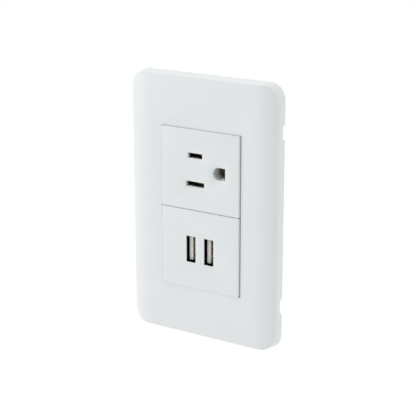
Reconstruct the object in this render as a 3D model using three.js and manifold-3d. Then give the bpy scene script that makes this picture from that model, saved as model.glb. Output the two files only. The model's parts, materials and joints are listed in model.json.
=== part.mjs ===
// A screwless wall outlet: a clip-on cover plate over a moulded mounting frame that carries two
// half-size modules, one grounded socket above one twin USB-A charger.
// Millimetres. X is to the right, +Y goes into the wall and +Z is up. The origin is the plate's
// centre on the wall plane, so the front faces -Y and the module bodies reach back into the box.
import * as THREE from "three";
import { mergeVertices } from "three/addons/utils/BufferGeometryUtils.js";
import Module from "manifold-3d";

const wasm = await Module();
wasm.setup();

// ---- Driving dimensions -------------------------------------------------------------------

// Cover plate
const plateWidth = 75;
const plateHeight = 118;
const plateCornerRadius = 7;
const plateFront = 6.5; // wall plane to the flat middle of the front
const edgeDrop = 2.2; // how far the front falls back at the left and right edges
const crownBand = 10; // width of the rounded band along each long side
const sideDraft = 0.75; // the sides lean in by this much from back to front
const frontWall = 1.8;
const sideWall = 1.8;
const windowWidth = 40.6;
const windowHeight = 72.2;
const flangeWall = 1.2; // stiffening flange round the window, behind the front wall
const flangeDepth = 1.2;
const pryNotchLength = 7.2; // slots in the back edge of the skirt for a screwdriver
const pryNotchDepth = 1.4;
const pryNotchLean = 0.7; // run of its sloping ends for each millimetre of depth
const pryNotchHeight = 38.5; // from the middle of the plate, up and down
const tongueWidth = 6; // press-in tongues that hold the cover on the frame
const tongueThickness = 1.2;
const tongueInset = 7.5; // from the plate's side to the tongue's middle

// Clearances
const slideGap = 0.3; // between pieces that move on each other, or are cut round each other
const snugGap = 0.1; // between pieces that stay put
const overcut = 1; // how far a cut runs past what it cuts
const joinOverlap = 0.5; // how far two shapes of one moulding run into each other
const hair = 0.01; // keeps two steps of one cut from only just touching
const faceGapSide = 0.45; // window to module face, left and right
const faceGapEnd = 0.15; // window to module face, top and bottom
const moduleSeam = 0.3; // between the two module faces

// Mounting frame
const frameFront = 2.4; // wall plane to the frame's front face
const frameBack = 0.2; // the frame stands this far off the wall plane
const frameMargin = 4.2; // cover's edge to frame's edge
const frameCornerRadius = 4;
const boxScrewFromWindow = 5.65; // window's end to the box screws, for 83.5 mm between them
const boxScrewSlotLength = 9;
const boxScrewSlotRoom = 0.45; // slot's edge to the screw's shank
const screwPocketWidth = 14;
const screwPocketHeight = 9;
const screwPocketFloor = 1.3;
const framePostHoleRadius = 2;
const railWindowWidth = 3.6; // lightening windows in the frame's side rails
const railWindowHeight = 26;
const railWindowShift = 0.6; // outward from the middle of the rail

// Module faces and bodies
const faceProud = 0.8; // the faces stand this far in front of the cover
const faceSkirt = 1.5;
const faceCornerRadius = 0.6;
const socketFaceWall = 2.2;
const usbFaceWall = 1.4;
const bodyWall = 1.6;
const bodyCornerRadius = 1.2;
const bodySideRoom = 0.55; // face skirt to body, left and right
const socketDepth = 15; // wall plane to the back of the socket body's floor
const usbDepth = 25; // the same on the charger
const latchHeight = 8;
const latchReach = 0.8; // how far a latch hooks behind the frame
const latchLength = 3.2;
const latchLip = 0.8; // the flat edge of a latch
const ventWidth = 1.4; // slots in the charger's floor
const ventHeight = 9;
const ventPitch = 4;

// Socket openings, to the grounded 15 A two-blade pattern turned a quarter turn
const bladeSpacing = 12.7;
const groundOffset = 11.9; // blade line to ground pin axis
const bladeLineX = -2.65; // blade line to the module's middle
const slotHeight = 2.3;
const hotSlotLength = 7.3;
const neutralSlotLength = 9.2;
const slotFunnelWidth = 13; // lead-in recess round each blade slot
const slotFunnelHeight = 5.3;
const funnelDepth = 1.5;
const groundHoleRadius = 2.75;
const groundFlat = 3.3; // ground pin axis to the hole's flat side
const groundFunnelMargin = 1.75;
const dividerThickness = 1.4; // walls between the contacts

// Contacts and screw terminals
const leafThickness = 0.8;
const bladeGap = 1.6; // between the two leaves that grip a blade
const leafSetback = 4; // socket face's inside to the front of the leaves
const pinBite = 0.2; // each ground leaf stands this far inside the hole's edge
const stripThickness = 1;
const tabWidth = 8;
const clampWidth = 7.4;
const clampThickness = 1.2;
const terminalShankRadius = 1.7;
const terminalHeadRadius = 3.2;
const terminalHeadHeight = 2.4;
const terminalShankLength = 6.4;
const tipRoom = 1.1; // terminal screw's tip to what lies in front of it
const wellWall = 1.4;
const wellDepth = 6;
const wellHalfWidth = 4.9; // terminal screw axis to the inside of its well
const wellFromMiddle = 10; // module middle to the terminal screw axes, up and down
const wellEndRoom = 0.4; // body end to the inside of a well, at least
const wellMouthSill = 1; // floor to the edge of a well's wire mouth
const wellMouthLip = 1; // well's inside to the side of its mouth
const leftWellShift = 0.3; // the left wells' walls sink this far into the body's side line
const rightWellInset = 1.4; // body side to the outside of the ground well
const usbNeckHeight = 5;
const neckPastBoard = 0.6; // a charger terminal's neck stands this far in front of its board
const assemblyShankRadius = 1.3;
const assemblyHeadRadius = 2.5;
const assemblyHeadHeight = 1.8;
const bossRadius = 2.7;
const bossFromSide = 5.2; // body side to boss axis
const bossFromEnd = 4.6; // body end to boss axis
const bossFront = 1; // wall plane to the front of the bosses
const assemblyTipSetback = 3; // face wall to the tip of an assembly screw
const pillarHoleFloor = 0.2; // face wall to the bottom of a pillar's hole

// Box screws
const boxShankRadius = 1.65;
const boxHeadRadius = 3.2;
const boxHeadHeight = 1.7;
const boxScrewLength = 25;

// Screw proportions
const screwTipShare = 0.5; // tip radius to shank radius
const screwTaperShare = 0.6; // tip taper's length to shank radius
const headRimShare = 0.55; // rim height to head height
const headTopShare = 0.7; // flat top's radius to head radius
const driverSlotShare = 0.5; // slot depth to head height
const driverSlotWidth = 1;

// USB ports
const portPitch = 9.2;
const portOpeningWidth = 4.75;
const portOpeningHeight = 12;
const shellInsideWidth = 5.1;
const shellInsideHeight = 12.5;
const shellWall = 0.35;
const shellBack = 7; // wall plane to the back of the metal shell
const portTongueThickness = 1.84;
const portTongueEndGap = 0.7; // shell's inside to the tongue's ends
const portTongueSetback = 1.9; // face front to tongue tip
const portTongueBackGap = 0.45; // opening's left edge to the tongue
const portBlockLength = 2.4;
const pinWidth = 1;
const pinThickness = 0.25;
const pinPlaces = [-3.5, -1, 1, 3.5];
const pinSetback = 0.6; // tongue's tip to the front of a pin
const pinSeat = 0.02; // tongue's side to a pin

// Charger boards and the parts on them
const boardThickness = 1.6;
const partGap = 0.6; // between parts on the board
const columnGap = 1.3; // between the middle row's columns
const coreHeight = 11;
const coreLeg = 3.2;
const coreYoke = 2.3;
const coreWindow = 2.4;
const coilWall = 1.2;
const inputCapLength = 12;
const outputCapShare = 0.58; // of the lower row's length
const outputCapThinness = 0.8; // output capacitor's radius to the input capacitor's
const inductorThinness = 0.6; // filter inductor's radius to the input capacitor's
const headerWidth = 2.2;
const headerLength = 10;
const bridgeSize = [3.4, 4.6];
const bridgeHeight = 2.4;
const fuseRadius = 1.4;
const fuseLength = 6.4;
const discRadius = 3.1;
const discThickness = 2.2;
const chipSize = [3.9, 4.9];
const chipHeight = 1.5;

// Smoothness of round pieces
const roundSides = 24;
const screwSides = 16;
const cornerSteps = 8;
const crownSteps = 7;

// ---- Derived places -----------------------------------------------------------------------

const faceWidth = windowWidth - 2 * faceGapSide;
const faceHeight = (windowHeight - 2 * faceGapEnd - moduleSeam) / 2;
const modulePitch = faceHeight + moduleSeam;
const faceFront = -(plateFront + faceProud);
const faceBack = -(frameFront + slideGap);
const bodyWidth = faceWidth - 2 * faceSkirt - 2 * bodySideRoom;
const bodyHeight = faceHeight - 2 * faceSkirt - 2 * slideGap;
const bodyHalfWidth = bodyWidth / 2;
const bodyHalfHeight = bodyHeight / 2;
const bladeZ = bladeSpacing / 2;
const groundX = bladeLineX + groundOffset;
const bossX = bodyHalfWidth - bossFromSide;
const bossZ = bodyHalfHeight - bossFromEnd;
const boxScrewSpacing = windowHeight + 2 * boxScrewFromWindow;
const leftWellX = -(bodyHalfWidth - bodyWall - wellWall - wellHalfWidth + leftWellShift);
const rightWellX = bodyHalfWidth - wellWall - wellHalfWidth - rightWellInset;

// ---- Helpers ------------------------------------------------------------------------------

// A closed geometry as a manifold solid.
function solid(geometry) {
  const bare = geometry.index ? geometry.toNonIndexed() : geometry.clone();
  bare.deleteAttribute("normal");
  bare.deleteAttribute("uv");
  const merged = mergeVertices(bare, 1e-4);
  const vertProperties = merged.attributes.position.array;
  const triVerts = new Uint32Array(merged.index.array);
  return new wasm.Manifold(new wasm.Mesh({ numProp: 3, vertProperties, triVerts }));
}

// A manifold solid as a three.js geometry.
function geometryOf(manifold) {
  const mesh = manifold.getMesh();
  const geometry = new THREE.BufferGeometry();
  geometry.setAttribute("position", new THREE.BufferAttribute(mesh.vertProperties, 3));
  geometry.setIndex(new THREE.BufferAttribute(mesh.triVerts, 1));
  geometry.computeVertexNormals();
  return geometry;
}

// A box between two places on each axis.
function block([x0, x1], [y0, y1], [z0, z1]) {
  const box = new THREE.BoxGeometry(x1 - x0, y1 - y0, z1 - z0);
  return solid(box.translate((x0 + x1) / 2, (y0 + y1) / 2, (z0 + z1) / 2));
}

// A box centred on x and z, which is how most moulded features are placed.
function bar(width, height, y, x = 0, z = 0) {
  return block([x - width / 2, x + width / 2], y, [z - height / 2, z + height / 2]);
}

// A shape drawn in X and Z, made solid from y0 to y1.
function slab(shape, [y0, y1], curveSegments = 6) {
  const depth = y1 - y0;
  const extruded = new THREE.ExtrudeGeometry(shape, { depth, curveSegments, bevelEnabled: false });
  return solid(extruded.rotateX(Math.PI / 2).translate(0, y1, 0));
}

// A cylinder along Y.
function rod(radius, [y0, y1], x = 0, z = 0, sides = roundSides) {
  const cylinder = new THREE.CylinderGeometry(radius, radius, y1 - y0, sides);
  return solid(cylinder.translate(x, (y0 + y1) / 2, z));
}

function roundedRectangle(width, height, radius) {
  const x = width / 2;
  const z = height / 2;
  const shape = new THREE.Shape();
  shape.moveTo(-x + radius, -z);
  shape.lineTo(x - radius, -z);
  shape.absarc(x - radius, -z + radius, radius, -Math.PI / 2, 0);
  shape.lineTo(x, z - radius);
  shape.absarc(x - radius, z - radius, radius, 0, Math.PI / 2);
  shape.lineTo(-x + radius, z);
  shape.absarc(-x + radius, z - radius, radius, Math.PI / 2, Math.PI);
  shape.lineTo(-x, -z + radius);
  shape.absarc(-x + radius, -z + radius, radius, Math.PI, 1.5 * Math.PI);
  return shape;
}

// A rectangular funnel, from one size at the front to another at the back, both centred on x, z.
function rectangularFunnel([w0, h0], [w1, h1], [y0, y1], x, z) {
  const box = new THREE.BoxGeometry(1, y1 - y0, 1);
  const places = box.attributes.position;
  for (let i = 0; i < places.count; i++) {
    const atFront = places.getY(i) < 0;
    places.setX(i, places.getX(i) * (atFront ? w0 : w1));
    places.setZ(i, places.getZ(i) * (atFront ? h0 : h1));
  }
  return solid(box.translate(x, (y0 + y1) / 2, z));
}

function union(first, ...others) {
  return others.reduce((whole, next) => whole.add(next), first);
}

function cut(whole, ...tools) {
  return tools.reduce((rest, tool) => rest.subtract(tool), whole);
}

// Both signs, for what stands left and right or up and down of the middle.
const bothSides = [-1, 1];

// ---- Materials ----------------------------------------------------------------------------

function finish(color, roughness, metalness = 0) {
  return new THREE.MeshStandardMaterial({ color, roughness, metalness });
}
const whitePolycarbonate = finish(0xe9eded, 0.35);
const frameNylon = finish(0xdfe2e0, 0.55);
const bodyNylon = finish(0xd6d8d6, 0.6);
const brass = finish(0xc9a24d, 0.3, 1);
const zincSteel = finish(0xb9bcc0, 0.35, 1);
const nickelSteel = finish(0xc8c9ca, 0.25, 1);
const tongueResin = finish(0xf1f1ee, 0.4);
const boardLaminate = finish(0x2f6b45, 0.5);
const blackEpoxy = finish(0x1d1e20, 0.5);
const ferrite = finish(0x37383b, 0.6);
const coilTape = finish(0xe0b83a, 0.4);
const capacitorSleeve = finish(0x23262f, 0.35);
const discLacquer = finish(0x2c69b0, 0.4);
const resistorLacquer = finish(0x8f9a72, 0.5);
const greenZinc = finish(0x5f8f5a, 0.4, 1);

// ---- Object tree --------------------------------------------------------------------------

const outlet = new THREE.Group();
const socketModule = new THREE.Group();
socketModule.position.z = modulePitch / 2;
const usbModule = new THREE.Group();
usbModule.position.z = -modulePitch / 2;
outlet.add(socketModule, usbModule);

function place(name, manifold, material, parent = outlet) {
  const mesh = new THREE.Mesh(geometryOf(manifold), material);
  mesh.name = name;
  parent.add(mesh);
  return mesh;
}

// ---- Cover plate --------------------------------------------------------------------------

// How far the front has fallen back at a distance from the plate's middle line.
function crownFall(x) {
  const past = Math.max(0, Math.abs(x) - (plateWidth / 2 - crownBand));
  return edgeDrop * (past / crownBand) ** 2;
}

// A bar along Z whose front follows the crown, "behind" the plate's own front by that much.
function crownedBar(behind) {
  const half = plateWidth / 2 + overcut;
  const section = new THREE.Shape();
  section.moveTo(-half, overcut);
  const turn = plateWidth / 2 - crownBand;
  for (let i = crownSteps; i >= 0; i--) {
    const x = turn + (i / crownSteps) * (half - turn);
    section.lineTo(-x, behind - plateFront + crownFall(x));
  }
  for (let i = 0; i <= crownSteps; i++) {
    const x = turn + (i / crownSteps) * (half - turn);
    section.lineTo(x, behind - plateFront + crownFall(x));
  }
  section.lineTo(half, overcut);
  const depth = plateHeight + 4 * overcut;
  const extruded = new THREE.ExtrudeGeometry(section, { depth, bevelEnabled: false });
  return solid(extruded.translate(0, 0, -depth / 2));
}

// A rounded rectangle that leans in towards the front by the plate's draft.
function draftedBlock(width, height, radius, back) {
  const depth = plateFront + back + overcut;
  const outline = roundedRectangle(width, height, radius);
  const settings = { depth, curveSegments: cornerSteps, bevelEnabled: false };
  const extruded = new THREE.ExtrudeGeometry(outline, settings);
  extruded.rotateX(Math.PI / 2).translate(0, back, 0);
  const places = extruded.attributes.position;
  for (let i = 0; i < places.count; i++) {
    const lean = sideDraft * ((back - places.getY(i)) / depth);
    places.setX(i, places.getX(i) - Math.sign(places.getX(i)) * lean);
    places.setZ(i, places.getZ(i) - Math.sign(places.getZ(i)) * lean);
  }
  return solid(extruded);
}

// A screwdriver slot in the skirt's back edge, with leaning ends.
function pryNotch(side, up) {
  const half = pryNotchLength / 2;
  const flat = half - pryNotchDepth * pryNotchLean;
  const section = new THREE.Shape();
  section.moveTo(-half, overcut);
  section.lineTo(-half, 0);
  section.lineTo(-flat, -pryNotchDepth);
  section.lineTo(flat, -pryNotchDepth);
  section.lineTo(half, 0);
  section.lineTo(half, overcut);
  const depth = 3 * sideWall;
  const through = new THREE.ExtrudeGeometry(section, { depth, bevelEnabled: false });
  through.rotateY(Math.PI / 2);
  return solid(through.translate((side * plateWidth - depth) / 2, 0, up * pryNotchHeight));
}

function tongueX(side) {
  return side * (plateWidth / 2 - tongueInset);
}

function coverPlate() {
  const outside = draftedBlock(plateWidth, plateHeight, plateCornerRadius, 0);
  const insideWidth = plateWidth - 2 * sideWall;
  const insideHeight = plateHeight - 2 * sideWall;
  const inside = draftedBlock(insideWidth, insideHeight, plateCornerRadius - sideWall, overcut / 2);
  const shell = outside.intersect(crownedBar(0)).subtract(inside.intersect(crownedBar(frontWall)));
  const flangeBack = -(plateFront - frontWall - flangeDepth);
  const flangeOutside = [windowWidth + 2 * flangeWall, windowHeight + 2 * flangeWall];
  const flange = bar(...flangeOutside, [-(plateFront - frontWall / 2), flangeBack]);
  const tongues = bothSides.flatMap((side) => bothSides.map((up) => {
    const root = crownFall(tongueX(side)) - plateFront + frontWall / 2;
    return bar(tongueThickness, tongueWidth, [root, -slideGap], tongueX(side), up * pryNotchHeight);
  }));
  const notches = bothSides.flatMap((side) => bothSides.map((up) => pryNotch(side, up)));
  const opening = bar(windowWidth, windowHeight, [-plateFront - overcut, overcut]);
  return cut(union(shell, flange, ...tongues), opening, ...notches);
}
place("cover_plate", coverPlate(), whitePolycarbonate);

// ---- Mounting frame -----------------------------------------------------------------------

const moduleCentres = [modulePitch / 2, -modulePitch / 2];

function mountingFrame() {
  const width = plateWidth - 2 * frameMargin;
  const height = plateHeight - 2 * frameMargin;
  const through = [-frameFront - overcut, overcut];
  const sheet = slab(roundedRectangle(width, height, frameCornerRadius), [-frameFront, -frameBack]);
  const windows = moduleCentres.map((z) =>
    bar(bodyWidth + 2 * slideGap, bodyHeight + 2 * slideGap, through, 0, z));
  const tongueSlots = bothSides.flatMap((side) => bothSides.map((up) =>
    bar(tongueThickness + 2 * slideGap, tongueWidth + 2 * slideGap, through,
      tongueX(side), up * pryNotchHeight)));
  const screwSlots = bothSides.map((up) => {
    const slotWidth = 2 * (boxShankRadius + boxScrewSlotRoom);
    const slot = roundedRectangle(boxScrewSlotLength, slotWidth, slotWidth / 2 - hair);
    return slab(slot, through).translate(0, 0, (up * boxScrewSpacing) / 2);
  });
  const pockets = bothSides.map((up) =>
    bar(screwPocketWidth, screwPocketHeight, [-frameFront - overcut, -frameBack - screwPocketFloor], 0,
      (up * boxScrewSpacing) / 2));
  const postHoles = bothSides.flatMap((side) => bothSides.map((up) =>
    rod(framePostHoleRadius, through, (side * boxScrewSpacing) / 4, (up * boxScrewSpacing) / 2,
      screwSides)));
  const railX = (bodyHalfWidth + slideGap + width / 2) / 2 + railWindowShift;
  const railWindows = bothSides.map((side) =>
    bar(railWindowWidth, railWindowHeight, through, side * railX));
  return cut(sheet, ...windows, ...tongueSlots, ...screwSlots, ...pockets, ...postHoles,
    ...railWindows);
}
place("mounting_frame", mountingFrame(), frameNylon);

// ---- Screws -------------------------------------------------------------------------------

// A pan-head screw along Y with its head towards +Y or -Y, and one cross slot.
function panScrew(shankRadius, shankLength, headRadius, headHeight, underHead, headTowards) {
  const tip = -shankLength;
  const profile = [
    [0, tip],
    [shankRadius * screwTipShare, tip],
    [shankRadius, tip + shankRadius * screwTaperShare],
    [shankRadius, 0],
    [headRadius, 0],
    [headRadius, headHeight * headRimShare],
    [headRadius * headTopShare, headHeight],
    [0, headHeight],
  ].map(([radius, along]) => new THREE.Vector2(radius, along));
  const turned = solid(new THREE.LatheGeometry(profile, screwSides));
  const slotFloor = headHeight * (1 - driverSlotShare);
  const slot = bar(2 * headRadius + overcut, driverSlotWidth, [slotFloor, headHeight + overcut]);
  const screw = turned.subtract(slot);
  const facing = headTowards > 0 ? screw : screw.rotate([180, 0, 0]);
  return facing.translate(0, underHead, 0);
}

const boxScrewUnderHead = -(frameBack + screwPocketFloor + slideGap);
bothSides.forEach((up) => {
  const screw = panScrew(boxShankRadius, boxScrewLength, boxHeadRadius, boxHeadHeight,
    boxScrewUnderHead, -1);
  const name = up > 0 ? "box_screw_top" : "box_screw_bottom";
  place(name, screw.translate(0, 0, (up * boxScrewSpacing) / 2), zincSteel);
});

// ---- Screw terminals, shared by both modules ----------------------------------------------

// The three places of a screw terminal behind a floor: tab, clamp plate and screw head.
function terminalLevels(floor) {
  const tabFront = floor + slideGap;
  const tabBack = tabFront + stripThickness;
  const clampFront = tabBack + slideGap;
  const clampBack = clampFront + clampThickness;
  const underHead = clampBack + slideGap;
  const tip = underHead - terminalShankLength;
  return { tabFront, tabBack, clampFront, clampBack, underHead, tip };
}

function placeTerminal(name, floor, x, z, parent, screwMaterial = zincSteel) {
  const { clampFront, clampBack, underHead } = terminalLevels(floor);
  const holeRadius = terminalShankRadius + slideGap;
  const clamp = bar(clampWidth, clampWidth, [clampFront, clampBack], x, z);
  const hole = rod(holeRadius, [clampFront - overcut, clampBack + overcut], x, z, screwSides);
  place(`${name}_clamp_plate`, clamp.subtract(hole), zincSteel, parent);
  const screw = panScrew(terminalShankRadius, terminalShankLength, terminalHeadRadius,
    terminalHeadHeight, underHead, 1);
  place(`${name}_terminal_screw`, screw.translate(x, 0, z), screwMaterial, parent);
}

// A terminal tab with its screw hole, reaching sideways to the neck that comes through the floor.
function terminalTab(floor, x, z, neckX) {
  const { tabFront, tabBack } = terminalLevels(floor);
  const half = tabWidth / 2;
  const outward = Math.sign(neckX - x);
  const across = outward > 0 ? [x - half, neckX + stripThickness / 2]
    : [neckX - stripThickness / 2, x + half];
  const tab = block(across, [tabFront, tabBack], [z - half, z + half]);
  const through = [tabFront - overcut, tabBack + overcut];
  const hole = rod(terminalShankRadius + slideGap, through, x, z, screwSides);
  return tab.subtract(hole);
}

// The well round one terminal: its outer wall, and the space inside, open on one side for the wire.
function wellPieces(floor, x, z, openTowards) {
  const inside = wellHalfWidth;
  const outside = wellHalfWidth + wellWall;
  const wall = bar(2 * outside, 2 * outside, [floor - bodyWall / 2, floor + wellDepth], x, z);
  const back = floor + wellDepth + overcut;
  const space = bar(2 * inside, 2 * inside, [floor, back], x, z);
  const [dx, dz] = openTowards;
  const reach = outside + overcut;
  const mouthAcross = 2 * (inside - wellMouthLip);
  const mouth = bar(dx ? reach : mouthAcross, dz ? reach : mouthAcross, [floor + wellMouthSill, back],
    x + (dx * reach) / 2, z + (dz * reach) / 2);
  return { wall, space, mouth };
}

// ---- Module bodies ------------------------------------------------------------------------

// A wedge on the body's side that hooks behind the frame when the module is pushed in.
function latchWedge(side) {
  const start = -frameBack + slideGap;
  const reach = slideGap + latchReach;
  const section = new THREE.Shape();
  section.moveTo(-joinOverlap, start);
  section.lineTo(reach, start);
  section.lineTo(reach, start + latchLip);
  section.lineTo(-joinOverlap, start + latchLength);
  const wedge = new THREE.ExtrudeGeometry(section, { depth: latchHeight, bevelEnabled: false });
  const right = solid(wedge.translate(bodyHalfWidth, 0, -latchHeight / 2));
  return side > 0 ? right : right.mirror([1, 0, 0]);
}

const bossPlaces = bothSides.map((up) => [bossX, up * bossZ]);
const pillarBack = bossFront - slideGap;

// The open-fronted box that both bodies start from, with its bosses and latches.
function bodyShell(rim, floor) {
  const outline = roundedRectangle(bodyWidth, bodyHeight, bodyCornerRadius);
  const outside = slab(outline, [rim, floor], 3);
  const hollow = bar(bodyWidth - 2 * bodyWall, bodyHeight - 2 * bodyWall,
    [rim - overcut, floor - bodyWall]);
  const bossDepth = [bossFront, floor - bodyWall / 2];
  const bosses = bossPlaces.map(([x, z]) => rod(bossRadius, bossDepth, x, z, screwSides));
  return union(cut(outside, hollow), ...bosses, ...bothSides.map(latchWedge));
}

const assemblyHoleRadius = assemblyShankRadius + slideGap;
const pillarRadius = Math.min(bossFromEnd, bossFromSide) - bodyWall - slideGap;

// The screw holes through the bosses, and the room for the heads behind the floor.
function bossHoles(floor) {
  return bossPlaces.flatMap(([x, z]) => [
    rod(assemblyHoleRadius, [0, floor + overcut], x, z, screwSides),
    rod(assemblyHeadRadius + slideGap, [floor, floor + wellDepth + overcut], x, z, screwSides),
  ]);
}

// Front pillars that the assembly screws bite into.
function facePillars(wallBack) {
  const pillar = [wallBack - joinOverlap, pillarBack];
  const hole = [wallBack + pillarHoleFloor, pillarBack + overcut];
  return bossPlaces.map(([x, z]) => cut(rod(pillarRadius, pillar, x, z, screwSides),
    rod(assemblyShankRadius + snugGap, hole, x, z, screwSides)));
}

// A module face: a shallow cap with a skirt that stands on the frame.
function faceCap(wall) {
  const outline = roundedRectangle(faceWidth, faceHeight, faceCornerRadius);
  const outside = slab(outline, [faceFront, faceBack], 3);
  const hollow = bar(faceWidth - 2 * faceSkirt, faceHeight - 2 * faceSkirt,
    [faceFront + wall, overcut]);
  return union(cut(outside, hollow), ...facePillars(faceFront + wall));
}

function placeAssemblyScrews(name, floor, parent) {
  const length = floor + slideGap - (faceFront + usbFaceWall + assemblyTipSetback);
  bothSides.forEach((up) => {
    const screw = panScrew(assemblyShankRadius, length, assemblyHeadRadius, assemblyHeadHeight,
      floor + slideGap, 1);
    const where = up > 0 ? "top" : "bottom";
    place(`${name}_assembly_screw_${where}`, screw.translate(bossX, 0, up * bossZ), zincSteel, parent);
  });
}

// ---- Socket module ------------------------------------------------------------------------

const socketWallBack = faceFront + socketFaceWall;

// The ground hole's outline: round towards the blades and flat on the far side.
function groundOutline(margin) {
  const radius = groundHoleRadius + margin;
  const flat = groundFlat + margin;
  const shape = new THREE.Shape();
  shape.moveTo(flat, -radius);
  shape.lineTo(flat, radius);
  shape.lineTo(0, radius);
  shape.absarc(0, 0, radius, Math.PI / 2, 1.5 * Math.PI);
  return shape;
}

// The lead-in round the ground hole, from its wide outline at the front to the hole itself.
function groundFunnel() {
  const steps = 3;
  const layers = [];
  for (let i = 0; i < steps; i++) {
    const margin = groundFunnelMargin * (1 - (i + 0.5) / steps);
    const front = faceFront + (funnelDepth * i) / steps - (i ? 0 : overcut);
    const back = faceFront + (funnelDepth * (i + 1)) / steps + hair;
    layers.push(slab(groundOutline(margin), [front, back]).translate(groundX, 0, 0));
  }
  return union(...layers);
}

function socketFace() {
  const slots = [[hotSlotLength, bladeZ], [neutralSlotLength, -bladeZ]];
  const openings = slots.flatMap(([length, z]) => {
    const funnelBack = faceFront + funnelDepth;
    return [
      rectangularFunnel([slotFunnelWidth, slotFunnelHeight], [length, slotHeight],
        [faceFront - hair, funnelBack], bladeLineX, z),
      bar(length, slotHeight, [funnelBack - hair, socketWallBack + overcut], bladeLineX, z),
    ];
  });
  const groundHole = slab(groundOutline(0), [faceFront - overcut, socketWallBack + overcut]);
  return cut(faceCap(socketFaceWall), ...openings, groundFunnel(),
    groundHole.translate(groundX, 0, 0));
}
place("socket_face", socketFace(), whitePolycarbonate, socketModule);

// The strip that carries one contact from its base, through the floor, to its terminal tab.
const leftNeckX = leftWellX - tabWidth / 2 + stripThickness / 2;
const rightNeckX = rightWellX + tabWidth / 2 - stripThickness / 2;
const baseBack = terminalLevels(socketDepth).tip - tipRoom;
const baseFront = baseBack - stripThickness;
const leafFront = socketWallBack + leafSetback;
const terminalHeight = Math.min(wellFromMiddle, bodyHalfHeight - wellHalfWidth - wellEndRoom);
const bladeGripHalf = bladeGap / 2 + leafThickness;

// A blade contact: two leaves above and below the blade, a base strip, a neck and a terminal tab.
function bladeContact(slotLength, up) {
  const z = up * bladeZ;
  const leafX = [bladeLineX - slotLength / 2, bladeLineX + slotLength / 2];
  const leaves = bothSides.map((side) => {
    const near = z + (side * bladeGap) / 2;
    const far = near + side * leafThickness;
    return block(leafX, [leafFront, baseBack], [Math.min(near, far), Math.max(near, far)]);
  });
  const baseX = [leftNeckX - stripThickness / 2, leafX[1]];
  const base = block(baseX, [baseFront, baseBack], [z - bladeGripHalf, z + bladeGripHalf]);
  const tabZ = up * terminalHeight;
  const neckZ = [Math.min(z - bladeGripHalf, tabZ), Math.max(z + bladeGripHalf, tabZ)];
  const neck = bar(stripThickness, neckZ[1] - neckZ[0],
    [baseFront, terminalLevels(socketDepth).tabBack], leftNeckX, (neckZ[0] + neckZ[1]) / 2);
  return union(...leaves, base, neck, terminalTab(socketDepth, leftWellX, tabZ, leftNeckX));
}

const pinGripHalf = groundHoleRadius - pinBite + leafThickness;

// The ground contact: two leaves beside the round pin, then the same strip to its own terminal.
function groundContact() {
  const leafX = [groundX - groundHoleRadius, groundX + groundHoleRadius];
  const leaves = bothSides.map((side) => {
    const near = side * (pinGripHalf - leafThickness);
    const far = side * pinGripHalf;
    return block(leafX, [leafFront, baseBack], [Math.min(near, far), Math.max(near, far)]);
  });
  const baseX = [leafX[0], rightNeckX + stripThickness / 2];
  const base = block(baseX, [baseFront, baseBack], [-pinGripHalf, pinGripHalf]);
  const neck = bar(stripThickness, 2 * pinGripHalf,
    [baseFront, terminalLevels(socketDepth).tabBack], rightNeckX);
  return union(...leaves, base, neck, terminalTab(socketDepth, rightWellX, 0, rightNeckX));
}

place("hot_contact", bladeContact(hotSlotLength, 1), brass, socketModule);
place("neutral_contact", bladeContact(neutralSlotLength, -1), brass, socketModule);
place("ground_contact", groundContact(), brass, socketModule);

const socketWells = [
  [leftWellX, terminalHeight, [0, 1]],
  [leftWellX, -terminalHeight, [0, -1]],
  [rightWellX, 0, [1, 0]],
];

function socketBody() {
  const rim = socketWallBack + slideGap;
  const inside = [rim + slideGap, socketDepth - bodyWall / 2];
  const neutralRight = bladeLineX + neutralSlotLength / 2;
  const dividerX = (neutralRight + groundX - groundHoleRadius) / 2;
  const half = dividerThickness / 2;
  const bladeWall = block([-bodyHalfWidth + bodyWall / 2, dividerX], inside, [-half, half]);
  const groundWall = bar(dividerThickness, bodyHeight - bodyWall, inside, dividerX);
  const wells = socketWells.map(([x, z, open]) => wellPieces(socketDepth, x, z, open));
  const envelope = bar(bodyWidth, bodyHeight, [rim, socketDepth + wellDepth + overcut]);
  const walls = wells.map(({ wall }) => wall.intersect(envelope));
  const floor = [socketDepth - bodyWall - overcut, terminalLevels(socketDepth).tabBack + slideGap];
  const neckSlots = bothSides.map((up) => {
    const z0 = Math.min(bladeZ - bladeGripHalf, terminalHeight) - slideGap;
    const z1 = Math.max(bladeZ + bladeGripHalf, terminalHeight) + slideGap;
    return bar(stripThickness + 2 * slideGap, z1 - z0, floor, leftNeckX, (up * (z0 + z1)) / 2);
  });
  const groundSlot = bar(stripThickness + 2 * slideGap, 2 * (pinGripHalf + slideGap), floor,
    rightNeckX);
  const shankHoles = socketWells.map(([x, z]) =>
    rod(terminalShankRadius + 2 * slideGap, floor, x, z, screwSides));
  const whole = union(bodyShell(rim, socketDepth), bladeWall, groundWall, ...walls);
  return cut(whole, ...wells.flatMap(({ space, mouth }) => [space, mouth]), ...neckSlots,
    groundSlot, ...shankHoles, ...bossHoles(socketDepth));
}
place("socket_body", socketBody(), bodyNylon, socketModule);

placeTerminal("hot", socketDepth, leftWellX, terminalHeight, socketModule);
placeTerminal("neutral", socketDepth, leftWellX, -terminalHeight, socketModule);
placeTerminal("ground", socketDepth, rightWellX, 0, socketModule, greenZinc);
placeAssemblyScrews("socket", socketDepth, socketModule);

// ---- USB charger module -------------------------------------------------------------------

const usbWallBack = faceFront + usbFaceWall;
const portCentres = [-portPitch / 2, portPitch / 2];

function usbFace() {
  const openings = portCentres.map((x) =>
    bar(portOpeningWidth, portOpeningHeight, [faceFront - overcut, usbWallBack + overcut], x));
  return cut(faceCap(usbFaceWall), ...openings);
}
place("usb_face", usbFace(), whitePolycarbonate, usbModule);

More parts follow.
